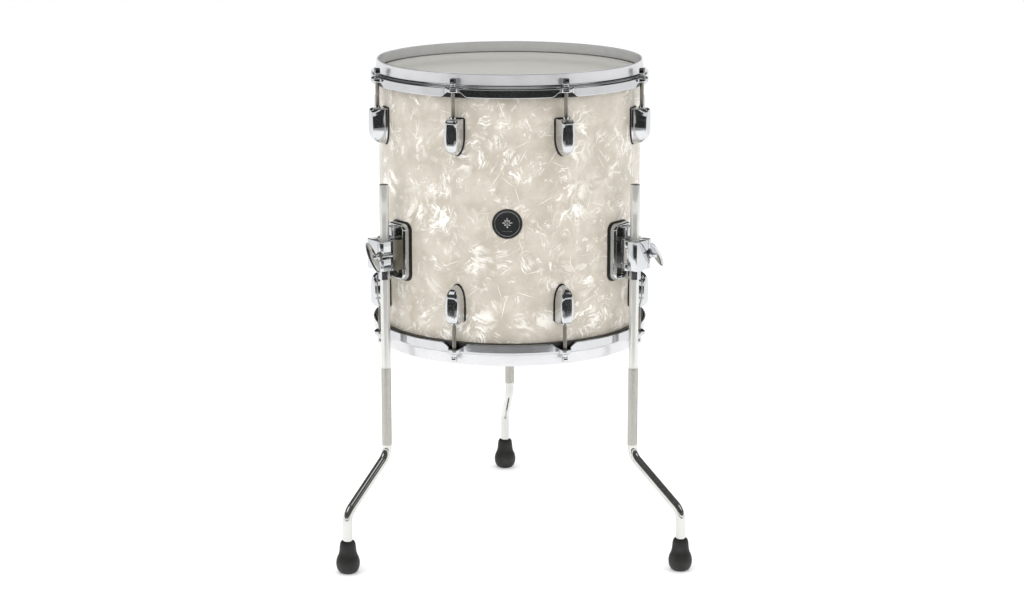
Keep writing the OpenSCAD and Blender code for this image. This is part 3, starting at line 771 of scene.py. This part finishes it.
def rod_part():
    """One tension rod on its own axis, in the half frame above the middle of the shell."""
    collar_low = ROD_TOP - 10.8 * MM
    tip = circle(ROD_R * 0.6, ROD_LOW, THREAD_AROUND)
    thread = thread_rings(ROD_LOW + 0.6 * MM, THREAD_LENGTH, THREAD_PITCH, ROD_R, THREAD_DEPTH, 4)
    part = Part()
    part.add(*loft([tip] + thread + [circle(ROD_R, collar_low, THREAD_AROUND)]))
    collar = [
        (ROD_R * 0.9, collar_low),
        (COLLAR_R - 0.3 * MM, collar_low),
        (COLLAR_R, collar_low + 0.3 * MM),
        (COLLAR_R, collar_low + 1.5 * MM),
        (COLLAR_R - 0.2 * MM, collar_low + 1.9 * MM),
        (3.5 * MM, collar_low + 2.2 * MM),
        (3.3 * MM, collar_low + 3.2 * MM),
        (3.3 * MM, collar_low + 4.4 * MM),
    ]
    part.add(*revolve(collar, 40))
    head = [(0.93, 0.1, -6.7), (1.0, 0.07, -6.3), (1.0, 0.07, -1.2), (0.96, 0.12, -0.55),
            (0.84, 0.3, -0.12), (0.7, 0.6, 0.0)]
    part.add(*loft([rounded_square(HEAD_HALF * k, soft, ROD_TOP + dz * MM, 48) for k, soft, dz in head]))
    return part


def build_rods():
    part = rod_part()
    for side, half_frame in SIDES:
        for i, angle in enumerate(ROD_ANGLES, 1):
            rod = part.copies(half_frame @ at_angle(angle) @ TO_ROD)
            obj = rod.build(f"{side}_rod_{i}_steel", ROD_ZINC, 30)
            paint(obj, CHROME, lambda p: abs(p.z - MID_Z) > ROD_TOP - 10.9 * MM)
            # The rod heads are painted dark: painted dark reflection.
            paint(obj, HEAD_PAINTED_DARK_CHROME, lambda p: p.z - MID_Z > ROD_TOP - HEAD_H)
            seat(obj, f"{side}_rod_{i}", "chrome_plate", f"{side}_rod_{i}")


# --- lugs

LUG_LENGTH = LUG_TOP - LUG_LOW
LUG_HALF = 10.25 * MM
LUG_DEPTH = 21.7 * MM
LUG_FRAME = 4.2 * MM
LUG_TURN = 0.467
SHOULDER = 0.11
FRONT_TURN = 0.6
FACE_WIDTHS = [(0.0, 6.6), (0.1, 7.6), (0.22, 8.4), (0.4, 9.0), (0.55, 9.1), (0.7, 8.6)]


def lug_face(t):
    """Half width of the front frame, without the rounding of the far end."""
    for (t0, w0), (t1, w1) in zip(FACE_WIDTHS, FACE_WIDTHS[1:]):
        if t <= t1:
            return (w0 + (w1 - w0) * smoothstep(t0, t1, t)) * MM
    return FACE_WIDTHS[-1][1] * MM


def lug_section(t):
    """Half width at the foot, half width of the front and depth, from 0 at the rod end to 1 at the tip."""
    side = max(0.0, (t - LUG_TURN) / (1 - LUG_TURN))
    round_side = math.sqrt(max(0.0, 1 - side**2))
    front = max(0.0, (t - FRONT_TURN) / (1 - FRONT_TURN))
    round_front = max(0.0, 1 - front**2.7) ** 0.5
    depth = LUG_DEPTH - 0.3 * MM * max(0.0, (0.22 - t) / 0.22) ** 2
    depth -= 0.25 * MM * (max(0.0, min(1.0, (t - 0.22) / 0.38))) ** 2
    if t < SHOULDER:
        depth -= 3.4 * MM * (1 - math.sqrt(1 - ((SHOULDER - t) / SHOULDER) ** 2))
    half = LUG_HALF * round_side
    return half, min(lug_face(t) * round_side**0.9, half * 0.94), depth * round_front


def lug_ring(t, shrink=0.0):
    """Closed ring of a lug's section, in (out, right) offsets from the gasket's surface."""
    half, face, depth = lug_section(t)
    half, face, depth = half - shrink, face - shrink * 0.8, depth - shrink
    foot = min(1.6 * MM, depth * 0.2)
    frame = min(LUG_FRAME, face * 0.4)
    rim = depth - min(1.7 * MM, depth * 0.3)
    wall = max(half - 0.15 * MM, face)
    side = [(0.0, half), (foot * 0.6, half), (foot, wall)]
    flank = []
    for k in range(1, 9):
        q = k / 9
        swell = (1 - q**2.4) ** 0.67
        flank.append((foot + (rim - foot) * q, face + (wall - face) * swell))
    front = [(rim, face), (rim + (depth - rim) * 0.45, face - frame * 0.2),
             (depth - 0.12 * MM, face - frame * 0.85), (depth, face - frame)]
    crown = [(depth, (face - frame) * k) for k in (0.94, 0.66, 0.33)]
    right_half = side + flank + front + crown
    left_half = [(u, -v) for u, v in right_half[::-1]]
    back = [(0.0, -half * 0.5), (0.0, 0.0), (0.0, half * 0.5)]
    return right_half + [(depth, 0.0)] + left_half + back


def lug_part():
    """One lug in its bearing frame, +Z towards the hoop. Its sections shrink at the rod end, to round it."""
    stations = [0.0, 0.0, 0.004, 0.015] + [0.03 + 0.94 * k / 30 for k in range(31)] + [0.985, 0.995, 0.9995]
    shrinks = [1.2 * MM, 0.6 * MM, 0.2 * MM] + [0.0] * len(stations)
    rings = []
    for t, shrink in zip(stations, shrinks):
        z = LUG_TOP - LUG_LENGTH * t
        ring = []
        for out, right in lug_ring(t, shrink):
            ring.append((rest(right) + out, right, z))
        rings.append(ring)
    part = Part()
    verts, faces = loft(rings)
    part.add(verts, [f[::-1] for f in faces])
    return part


def build_lugs():
    part = lug_part()
    for side, half_frame in SIDES:
        whole = part.copies(*[half_frame @ at_angle(angle) for angle in ROD_ANGLES])
        obj = whole.build(f"{side}_lugs_chrome", CHROME, 32)
        seat(obj, "drum", "chrome_plate", f"{side}_lugs")


# --- leg brackets

PLATE_W = 39.0 * MM
PLATE_H = 76.5 * MM
PLATE_CORNER = 9 * MM
PLATE_OUT = 188.0 * MM
DISH_R = PLATE_OUT - 3.0 * MM
PIN_X = LEG_AXIS - 3 * MM
PIN_Y = -14 * MM
CLAMP_H = 41 * MM
CLAMP_LOW = CLAMP_Z - CLAMP_H / 2
CLAMP_HIGH = CLAMP_Z + CLAMP_H / 2
KNUCKLE_H = 10 * MM
KNUCKLE_R = 4.6 * MM
GROOVE_R = LEG_R + 0.12 * MM
SLOT_HALF = 3.4 * MM
BLADE_LEAN = math.radians(38)
WING_Y = 12.8 * MM
WING_R = 3 * MM
WING_PITCH = 1.27 * MM


def plate_outline(inset):
    w, h = PLATE_W / 2 - inset, PLATE_H / 2 - inset
    r = max(PLATE_CORNER - inset, 2 * MM)
    points = []
    for cx, cy, start in ((w - r, h - r, 0), (r - w, h - r, 90), (r - w, r - h, 180), (w - r, r - h, 270)):
        points += arc(cx, cy, r, start, start + 90, 8)
    return points


def plate_part():
    """Dished base plate with a rolled rim, its back curved to the gasket."""
    part = Part()
    rim = PLATE_OUT
    levels = [
        (0.0, None), (0.0, rim - 4.2 * MM), (0.25 * MM, rim - 2.4 * MM), (0.8 * MM, rim - 1.0 * MM),
        (1.6 * MM, rim - 0.25 * MM), (2.5 * MM, rim), (3.3 * MM, rim - 0.2 * MM), (4.0 * MM, rim - 0.9 * MM),
        (4.6 * MM, rim - 2.0 * MM), (5.6 * MM, rim - 2.7 * MM), (7.5 * MM, rim - 2.9 * MM),
        (12 * MM, rim - 3.0 * MM),
    ]
    rings = []
    for inset, out in levels:
        ring = []
        for y, z in plate_outline(inset):
            ring.append((rest(y) if out is None else out, y, PLATE_Z + z))
        rings.append(ring)
    back = [(rest(y), y, PLATE_Z + z) for y, z in plate_outline(PLATE_CORNER)]
    part.add(*loft([back] + rings))
    return part


def clamp_tower():
    """Fixed half of the clamp, with a groove for the leg, a rib above and the outer knuckles."""
    part = Part()
    inner, outer = 183.5 * MM, LEG_AXIS - 1.5 * MM
    left, right = PIN_Y + 5.0 * MM, WING_Y + 5.2 * MM
    half = math.sqrt(GROOVE_R**2 - (LEG_AXIS - outer) ** 2)
    edge = math.degrees(math.asin(half / GROOVE_R))
    groove = arc(LEG_AXIS, 0, GROOVE_R, 180 - edge, 180 + edge, 12)
    outline = [(inner, left), (outer, left)] + groove[::-1] + [(outer, right), (inner, right)]
    part.add(*prism(outline, CLAMP_LOW, CLAMP_HIGH, 0.7 * MM))
    rib = rounded_loop([(inner, -5 * MM), (LEG_AXIS - 9.5 * MM, -5 * MM), (LEG_AXIS - 9.5 * MM, 5 * MM),
                        (inner, 5 * MM)], 1.2 * MM)
    part.add(*prism(rib, CLAMP_Z, PLATE_Z + PLATE_H / 2 - 4 * MM, 1.0 * MM))
    for z in (CLAMP_LOW, CLAMP_HIGH - KNUCKLE_H):
        knuckle = [(PIN_X - KNUCKLE_R, PIN_Y + 6 * MM), (PIN_X - KNUCKLE_R, PIN_Y)]
        knuckle += arc(PIN_X, PIN_Y, KNUCKLE_R, 180, 360, 12)[1:]
        knuckle += [(PIN_X + 3.9 * MM, PIN_Y + 1 * MM), (PIN_X + 3.9 * MM, PIN_Y + 6 * MM)]
        part.add(*prism(knuckle, z, z + KNUCKLE_H, 0.5 * MM))
    return part


def in_bracket_frame(point):
    """The point in the frame of the bracket that it belongs to."""
    frames = [at_angle(angle).inverted() @ point for angle in LEG_BEARING.values()]
    return max(frames, key=lambda p: p.x)


# Mask for the dish that is painted darker: painted shade.
def in_dish(point):
    p = in_bracket_frame(point)
    inside = abs(p.y) < PLATE_W / 2 - 5 * MM and abs(p.z - PLATE_Z) < PLATE_H / 2 - 5 * MM
    return inside and abs(p.x - DISH_R) < 1.2 * MM


# Mask for the tower flank that is painted darker: painted shade.
def on_tower_flank(point):
    p = in_bracket_frame(point)
    return p.y > WING_Y + 4.8 * MM and DISH_R < p.x < LEG_AXIS and abs(p.z - CLAMP_Z) < CLAMP_H / 2


def build_bracket_bases():
    base = Part()
    for part in (plate_part(), clamp_tower()):
        base.add(part.verts, part.faces)
    whole = base.copies(*[at_angle(angle) for angle in LEG_BEARING.values()])
    obj = whole.build("bracket_bases_chrome", CHROME)
    # The plate's dish is painted darker: painted shade.
    paint(obj, DISH_PAINTED_SHADE_CHROME, in_dish)
    # The tower's flank beyond the wing screw is painted darker: painted shade.
    paint(obj, TOWER_PAINTED_SHADE_CHROME, on_tower_flank)
    seat(obj, "drum", "chrome_plate", "bracket_bases")


def jaw_part():
    """Swinging half of the clamp: two lobes either side of the wing screw, joined at the hinge side."""
    part = Part()
    low, high = CLAMP_LOW + 0.4 * MM, CLAMP_HIGH - 0.4 * MM
    inner, outer = LEG_AXIS + 1.8 * MM, LEG_AXIS + 16 * MM
    half = math.sqrt(GROOVE_R**2 - (inner - LEG_AXIS) ** 2)
    edge = math.degrees(math.asin(half / GROOVE_R))
    groove = arc(LEG_AXIS, 0, GROOVE_R, edge, -edge, 12)
    slot_y = WING_Y - SLOT_HALF
    body = [(inner, PIN_Y - KNUCKLE_R), (outer - 2.5 * MM, PIN_Y - KNUCKLE_R),
            (outer - 0.6 * MM, PIN_Y - 3.8 * MM), (outer, PIN_Y - 1.5 * MM),
            (outer, slot_y), (inner, slot_y)] + groove
    part.add(*prism(body, low, high, 0.9 * MM))
    lobe = [(inner, slot_y - 1.5 * MM), (outer, slot_y - 1.5 * MM), (outer, 14.5 * MM),
            (outer - 3 * MM, 17.5 * MM), (inner, 17.5 * MM)]
    part.add(*prism(lobe, low, CLAMP_Z - SLOT_HALF, 0.9 * MM))
    part.add(*prism(lobe, CLAMP_Z + SLOT_HALF, high, 0.9 * MM))
    knuckle_high = CLAMP_HIGH - KNUCKLE_H - 0.3 * MM
    knuckle_low = 2 * CLAMP_Z - knuckle_high
    knuckle = arc(PIN_X, PIN_Y, KNUCKLE_R, 90, 270, 14)
    knuckle += [(inner + 1 * MM, PIN_Y - KNUCKLE_R), (inner + 1 * MM, PIN_Y + KNUCKLE_R)]
    part.add(*prism(knuckle, knuckle_low, knuckle_high, 0.4 * MM))
    return part


def wing_part():
    """Wing screw along local +X from the drum: threaded shank, stepped hub and a leaning oval blade."""
    part = Part()
    turn = Matrix.Translation((0, WING_Y, CLAMP_Z)) @ Matrix.Rotation(math.pi / 2, 4, "Y")
    start, hub = LEG_AXIS - 17.5 * MM, LEG_AXIS + 17.45 * MM
    thread = thread_rings(start, hub - 2 * MM - start, WING_PITCH, WING_R, 0.35 * MM)
    part.add(*loft(thread + [circle(WING_R, hub + 1 * MM, THREAD_AROUND)]), turn)
    hub_profile = rounded_profile([
        (2.0 * MM, hub), (5.0 * MM, hub), (5.0 * MM, hub + 1.8 * MM), (4.1 * MM, hub + 2.6 * MM),
        (4.1 * MM, hub + 7.0 * MM), (3.0 * MM, hub + 10.0 * MM), (1.0 * MM, hub + 10.6 * MM)
    ], 0.5 * MM)
    part.add(*revolve(hub_profile, 40), turn)
    blade_x = hub + 9.6 * MM
    lean = (Matrix.Translation((0, WING_Y, CLAMP_Z)) @ Matrix.Rotation(BLADE_LEAN, 4, "X")
            @ Matrix.Translation((blade_x, 0, 0)))
    part.add(*blade(6.5 * MM, 23 * MM, 1.8 * MM), lean)
    return part


def blade(half_w, half_l, half_t):
    """Oval plate across local Y with pillowed faces and a rounded rim."""
    rows = []
    steps = 18
    for k in range(steps + 1):
        a = math.pi * k / steps
        ring_scale = math.sin(a) ** 0.55 if 0 < k < steps else 0.02
        thick = -math.cos(a)
        y = half_t * math.copysign(abs(thick) ** 0.8, thick)
        oval = circle(ring_scale, 0.0, 56)
        rows.append([(half_w * x, y, half_l * z) for x, z, _ in oval])
    verts, faces = loft(rows)
    return verts, [f[::-1] for f in faces]


def build_clamps():
    jaw, wing = jaw_part(), wing_part()
    for name, angle in LEG_BEARING.items():
        for part, label in ((jaw, "clamp_jaw"), (wing, "wing_screw")):
            obj = part.copies(at_angle(angle)).build(f"{label}_{name}_chrome", CHROME)
            seat(obj, f"{label}_{name}", "chrome_plate", f"{label}_{name}")


# --- legs and feet

UPPER_BEND = 143 * MM
LOWER_BEND = 81 * MM
BEND_R = 24 * MM
LEG_TIP = 14 * MM
KNURL_LOW = UPPER_BEND + 14 * MM
KNURL_HIGH = 264 * MM
KNURL_DEPTH = 0.22 * MM
KNURL_COUNT = 32


def leg_path(reach):
    """Points of the leg's axis from its top down, as (sideways, height), with both bends rounded."""
    slant = math.atan2(reach, UPPER_BEND - LOWER_BEND)
    cut = BEND_R * math.tan(slant / 2)
    path = [(0.0, LEG_TOP)]
    path += [(0.0, LEG_TOP - (LEG_TOP - UPPER_BEND - cut) * k / 6) for k in range(1, 6)]
    degrees = math.degrees(slant)
    path += arc(BEND_R, UPPER_BEND + cut, BEND_R, 180, 180 + degrees, 16)
    path += arc(reach - BEND_R, LOWER_BEND - cut, BEND_R, degrees, 0, 16)
    path.append((reach, LEG_TIP))
    return path


def tube(path, radius, around=40):
    """Sweeps a circle along a path in the X-Z plane, from the top down."""
    rings = []
    for i, (x, z) in enumerate(path):
        before, after = path[max(0, i - 1)], path[min(len(path) - 1, i + 1)]
        along = Vector((after[0] - before[0], 0, after[1] - before[1])).normalized()
        side = Vector((0, 1, 0))
        across = side.cross(along)
        ring = []
        for k in range(around):
            a = TAU * k / around
            p = Vector((x, 0, z)) + across * radius(i) * math.cos(a) + side * radius(i) * math.sin(a)
            ring.append(tuple(p))
        rings.append(ring)
    return rings


def knurl_part():
    """Sleeve of raised diamonds round the leg."""
    around = KNURL_COUNT * 2
    rows = int((KNURL_HIGH - KNURL_LOW) / (0.62 * MM))
    rings = [circle(LEG_R - 0.3 * MM, KNURL_LOW - 0.2 * MM, around)]
    for i in range(rows + 1):
        z = KNURL_LOW + (KNURL_HIGH - KNURL_LOW) * i / rows
        edge = min(1.0, i / 2, (rows - i) / 2)

        def radius(k):
            high = KNURL_DEPTH if (i + k) % 2 == 0 else 0.0
            return LEG_R + 0.02 * MM + (high - KNURL_DEPTH * 0.4) * edge

        rings.append(ring_of(radius, z, around))
    rings.append(circle(LEG_R - 0.3 * MM, KNURL_HIGH + 0.2 * MM, around))
    return loft(rings)


def foot_profile():
    """Rubber foot in (radius, height) from the floor up, then over the lip and down into the bore."""
    knots = [(9.0, 0.0), (12.4, 2.2), (15.0, 7.2), (15.9, 14.2), (14.7, 20.6), (12.6, 25.6), (11.5, 30.0),
             (11.0, 35.0), (10.5, 39.6), (9.3, 43.0), (8.0, 44.0), (7.2, 43.5), (6.9, 42.2)]
    points = [(0.01 * MM, 0.0), (5.0 * MM, 0.0)]
    for i in range(len(knots) - 1):
        p0, p1 = knots[max(0, i - 1)], knots[i]
        p2, p3 = knots[i + 1], knots[min(len(knots) - 1, i + 2)]
        for k in range(4):
            points.append(tuple(catmull(p0, p1, p2, p3, k / 4, axis) * MM for axis in (0, 1)))
    points.append((6.7 * MM, 40.5 * MM))
    points.append((6.5 * MM, 36.0 * MM))
    return points


def catmull(p0, p1, p2, p3, t, axis):
    """One coordinate of the smooth curve through p1 and p2, at t from 0 to 1."""
    a, b, c, d = p0[axis], p1[axis], p2[axis], p3[axis]
    square = 2 * a - 5 * b + 4 * c - d
    cube = 3 * b - a - 3 * c + d
    return 0.5 * (2 * b + (c - a) * t + square * t * t + cube * t**3)


def build_legs():
    for name in LEG_NAMES:
        pos = LEG_POS[name]
        axis = Vector((pos[0], pos[1], 0))
        foot = foot_centre(name)
        reach = (foot - axis).length
        turn = math.atan2(foot.y - axis.y, foot.x - axis.x)
        place = Matrix.Translation(axis) @ Matrix.Rotation(turn, 4, "Z")
        path = leg_path(reach)
        top = [(0.0, LEG_TOP), (0.0, LEG_TOP - 0.35 * MM), (0.0, LEG_TOP - 1.0 * MM)]
        path = top + path[1:]
        radii = {0: LEG_R - 1.0 * MM, 1: LEG_R - 0.4 * MM}
        leg = Part()
        leg.add(*loft(tube(path, lambda i: radii.get(i, LEG_R))), place)
        # The leg takes the chrome whose milky diffuse share is painted light.
        obj = leg.build(f"leg_{name}_chrome", LEG_PAINTED_LIGHT_CHROME)
        paint(obj, DARK_STEEL, lambda p: p.z > LEG_TOP - 0.3 * MM)
        paint(obj, BEND_CHROME, lambda p: p.z < KNURL_LOW)
        seat(obj, f"leg_{name}", "leg_chrome", f"leg_{name}")
        sleeve = Part()
        sleeve.add(*knurl_part(), place)
        obj = sleeve.build(f"leg_{name}_knurl", KNURL, 60)
        seat(obj, f"leg_{name}", "leg_chrome")
        rubber_foot = Part()
        rubber_foot.add(*revolve(foot_profile(), 64), Matrix.Translation(foot))
        obj = rubber_foot.build(f"foot_{name}_rubber", FOOT_RUBBER)
        seat(obj, f"leg_{name}", "foot_rubber", f"foot_{name}")


# --- badge

BADGE_T = 1.25 * MM


def wrap_to_shell(verts):
    """Bends points given as (right, up, out) onto the shell's front."""
    out = []
    for x, z, u in verts:
        a = x / SHELL_R + BADGE_TURN
        r = SHELL_R + 0.05 * MM + u
        out.append((r * math.sin(a), -r * math.cos(a), BADGE_Z + z))
    return out


def badge_disc():
    """Disc with a raised border, as (share of the radius, share of the thickness) levels."""
    part = Part()
    levels = [(1.0, 0.0), (1.0, 0.55), (0.985, 0.85), (0.955, 1.0), (0.9, 1.0), (0.885, 0.86), (0.86, 0.8),
              (0.6, 0.82), (0.3, 0.84), (0.02, 0.85)]
    base = [(0.02, 0.0), (0.5, 0.0)]
    rings = []
    for share, height in base + levels:
        rings.append(circle(BADGE_R * share, BADGE_T * height, 72))
    verts, faces = loft(rings)
    part.add(wrap_to_shell(verts), faces)
    return part


def badge_trim():
    """Plain ring and an eight-petal rosette over a row of dots."""
    part = Part()
    ring_r, wire = BADGE_R * 0.82, 0.32 * MM
    rows = []
    for k in range(72):
        a = TAU * k / 72
        row = []
        for i in range(8):
            b = TAU * i / 8
            r = ring_r + wire * math.cos(b)
            row.append((r * math.cos(a), r * math.sin(a), BADGE_T * 0.8 + wire * 0.6 * math.sin(b)))
        rows.append(row)
    verts, faces = grid(rows, True)
    part.add(wrap_to_shell(verts), faces)
    for k in range(8):
        long = 5.6 * MM if k % 2 == 0 else 4.0 * MM
        add_pad(part, TAU * k / 8, 1.6 * MM + long / 2, long / 2, 1.05 * MM, 1.8 * MM)
    add_pad(part, 0.0, 0.0, 1.1 * MM, 1.1 * MM, 1.8 * MM)
    for k in range(-3, 4):
        add_pad(part, 0.0, k * 1.9 * MM, 0.5 * MM, 0.5 * MM, -9.6 * MM)
    return part


def add_pad(part, angle, distance, half_l, half_w, up):
    """Low raised oval at a distance along a direction from the badge's centre, moved up by this much."""
    rings = []
    for share, height in ((1.0, 0.7), (0.92, 0.95), (0.7, 1.1), (0.05, 1.18)):
        ring = []
        for k in range(20):
            x = distance + half_l * share * math.cos(TAU * k / 20)
            y = half_w * share * math.sin(TAU * k / 20)
            ring.append((x * math.cos(angle) - y * math.sin(angle),
                         x * math.sin(angle) + y * math.cos(angle) + up, BADGE_T * height))
        rings.append(ring)
    verts, faces = loft(rings)
    part.add(wrap_to_shell(verts), faces)


def build_badge():
    disc = badge_disc().build("badge_disc", BADGE_BLACK)
    seat(disc, "drum", "badge_black", "badge")
    trim = badge_trim().build("badge_trim", BADGE_SILVER)
    seat(trim, "drum", "steel_plain")


# --- studio

LENS = 84.10
SHIFT_X = 0.00234
CAMERA_BACK = 3.22951
CAMERA_UP = 0.79421
CAMERA_PITCH = 13.0023


def build_camera():
    camera = bpy.data.cameras.new("camera")
    camera.sensor_width = 36
    camera.lens = LENS
    camera.shift_x = SHIFT_X
    obj = bpy.data.objects.new("camera", camera)
    lower_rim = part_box("resonant_hoop")[0].z
    obj.location = (0, -CAMERA_BACK, lower_rim + CAMERA_UP)
    obj.rotation_euler = (math.radians(90 - CAMERA_PITCH), 0, 0)
    bpy.context.scene.collection.objects.link(obj)
    bpy.context.scene.camera = obj


def build_floor():
    """Pale floor that ends in front of the drum, where the chrome sees the dark end of the studio.

    A driver keeps it under the lowest foot at every pose."""
    s = Shader("studio_floor")
    tone = s.noise(s.coords, 3, 2)[0]
    material = s.surface(
        Base_Color=s.mix(tone, (0.88, 0.88, 0.88, 1), (0.91, 0.91, 0.91, 1)),
        Roughness=0.7,
        Emission_Color=(1, 1, 1, 1),
        Emission_Strength=0.2,
    )
    width, front, back = 9.0, -1.15, 12.0
    verts = [(-width, front, 0), (width, front, 0), (width, back, 0), (-width, back, 0)]
    floor = make_object("studio_floor", verts, [(0, 1, 2, 3)], material)
    lower = floor.driver_add("location", 2).driver
    lower.type = "MIN"
    for name in LEG_NAMES:
        variable = lower.variables.new()
        variable.type = "TRANSFORMS"
        variable.targets[0].id = frame["bodies"][f"leg_{name}"]
        variable.targets[0].transform_type = "LOC_Z"
        variable.targets[0].transform_space = "WORLD_SPACE"


# The studio as the chrome sees it: bands in degrees above the horizon, over which each part fades
BLACK_STARTS = (-14.2, -13.0)
GREY_STARTS = (-21.5, -19.5)
DARK_ENDS = (-0.5, 0.6)
CEILING_STARTS = (8, 10)
OVERHEAD_STARTS = (72, 78)
GREY, BLACK, CEILING, OVERHEAD = 0.40, 0.03, 0.04, 0.75
# Direction, cosine of the half angle and brightness
SOFTBOXES = [
    ((-0.72, -0.25, 0.90), 0.95, 1.1),
    ((0.85, -0.20, 0.80), 0.96, 1.0),
    ((0.1, 0.80, 0.80), 0.92, 0.9),
]
# Name, place, size in metres and power in watts
LIGHTS = [
    ("key", (-1.6, -2.2, 2.6), 1.8, 26),
    ("fill", (2.2, -1.6, 1.8), 1.6, 12),
    ("top", (0, 0.2, 3.2), 2.2, 16),
]


def fade(s, rise, band, start, end):
    low, high = [math.sin(math.radians(degrees)) for degrees in band]
    return s.remap(rise, low, high, start, end)


def build_world():
    """White studio for the eye and for diffuse light; glossy rays see its dark parts and softboxes."""
    world = bpy.data.worlds.new("studio")
    bpy.context.scene.world = world
    world.use_nodes = True
    s = Nodes(world.node_tree)
    output = s.node("ShaderNodeOutputWorld")
    ray = s.node("ShaderNodeTexCoord").outputs["Generated"]
    _, depth, rise = s.split(ray)
    flat = s.math("SQRT", s.math("SUBTRACT", 1.0, s.math("MULTIPLY", rise, rise)))
    front = s.math("DIVIDE", s.math("MULTIPLY", depth, -1.0), flat)
    ahead = s.remap(front, 0.56, 0.64)
    below = fade(s, rise, DARK_ENDS, 1.0, 0.0)
    black = s.math("MULTIPLY", fade(s, rise, BLACK_STARTS, 0.0, 1.0), below)
    grey = s.math("MULTIPLY", fade(s, rise, GREY_STARTS, 0.0, 1.0), below)
    level = s.remap(s.math("MULTIPLY", ahead, grey), 0.0, 1.0, 0.97, GREY, False)
    black = s.remap(s.math("MULTIPLY", ahead, black), 0.0, 1.0, 1.0, BLACK, False)
    level = s.math("MULTIPLY", level, black)
    level = s.math("MULTIPLY", level, fade(s, rise, CEILING_STARTS, 1.0, CEILING))
    level = s.math("MAXIMUM", level, fade(s, rise, OVERHEAD_STARTS, 0.0, OVERHEAD))
    for direction, edge, gain in SOFTBOXES:
        facing = s.node("ShaderNodeVectorMath", {0: ray, 1: Vector(direction).normalized()},
                        operation="DOT_PRODUCT").outputs["Value"]
        box = s.remap(facing, edge, edge + 0.03, 0.0, gain)
        level = s.math("MAXIMUM", level, box)
    path = s.node("ShaderNodeLightPath").outputs
    strength = s.node("ShaderNodeMix", {0: path["Is Glossy Ray"], 2: 0.95, 3: level}).outputs[0]
    strength = s.node("ShaderNodeMix", {0: path["Is Camera Ray"], 2: strength, 3: 1.0}).outputs[0]
    background = s.node("ShaderNodeBackground", {"Color": (1, 1, 1, 1), "Strength": strength})
    s.tree.links.new(background.outputs[0], output.inputs["Surface"])


def build_lights():
    for name, place, size, power in LIGHTS:
        light = bpy.data.lights.new(name, "AREA")
        light.size = size
        light.energy = power
        obj = bpy.data.objects.new(name, light)
        obj.location = place
        aim = Vector((0, 0, MID_Z)) - Vector(place)
        obj.rotation_euler = aim.to_track_quat("-Z", "Y").to_euler()
        obj.visible_glossy = False
        bpy.context.scene.collection.objects.link(obj)


dress_cad_nodes()
build_hoops()
build_rods()
build_lugs()
build_bracket_bases()
build_clamps()
build_legs()
build_badge()
build_camera()
build_floor()
build_world()
build_lights()
bpy.context.scene.view_settings.view_transform = "Standard"
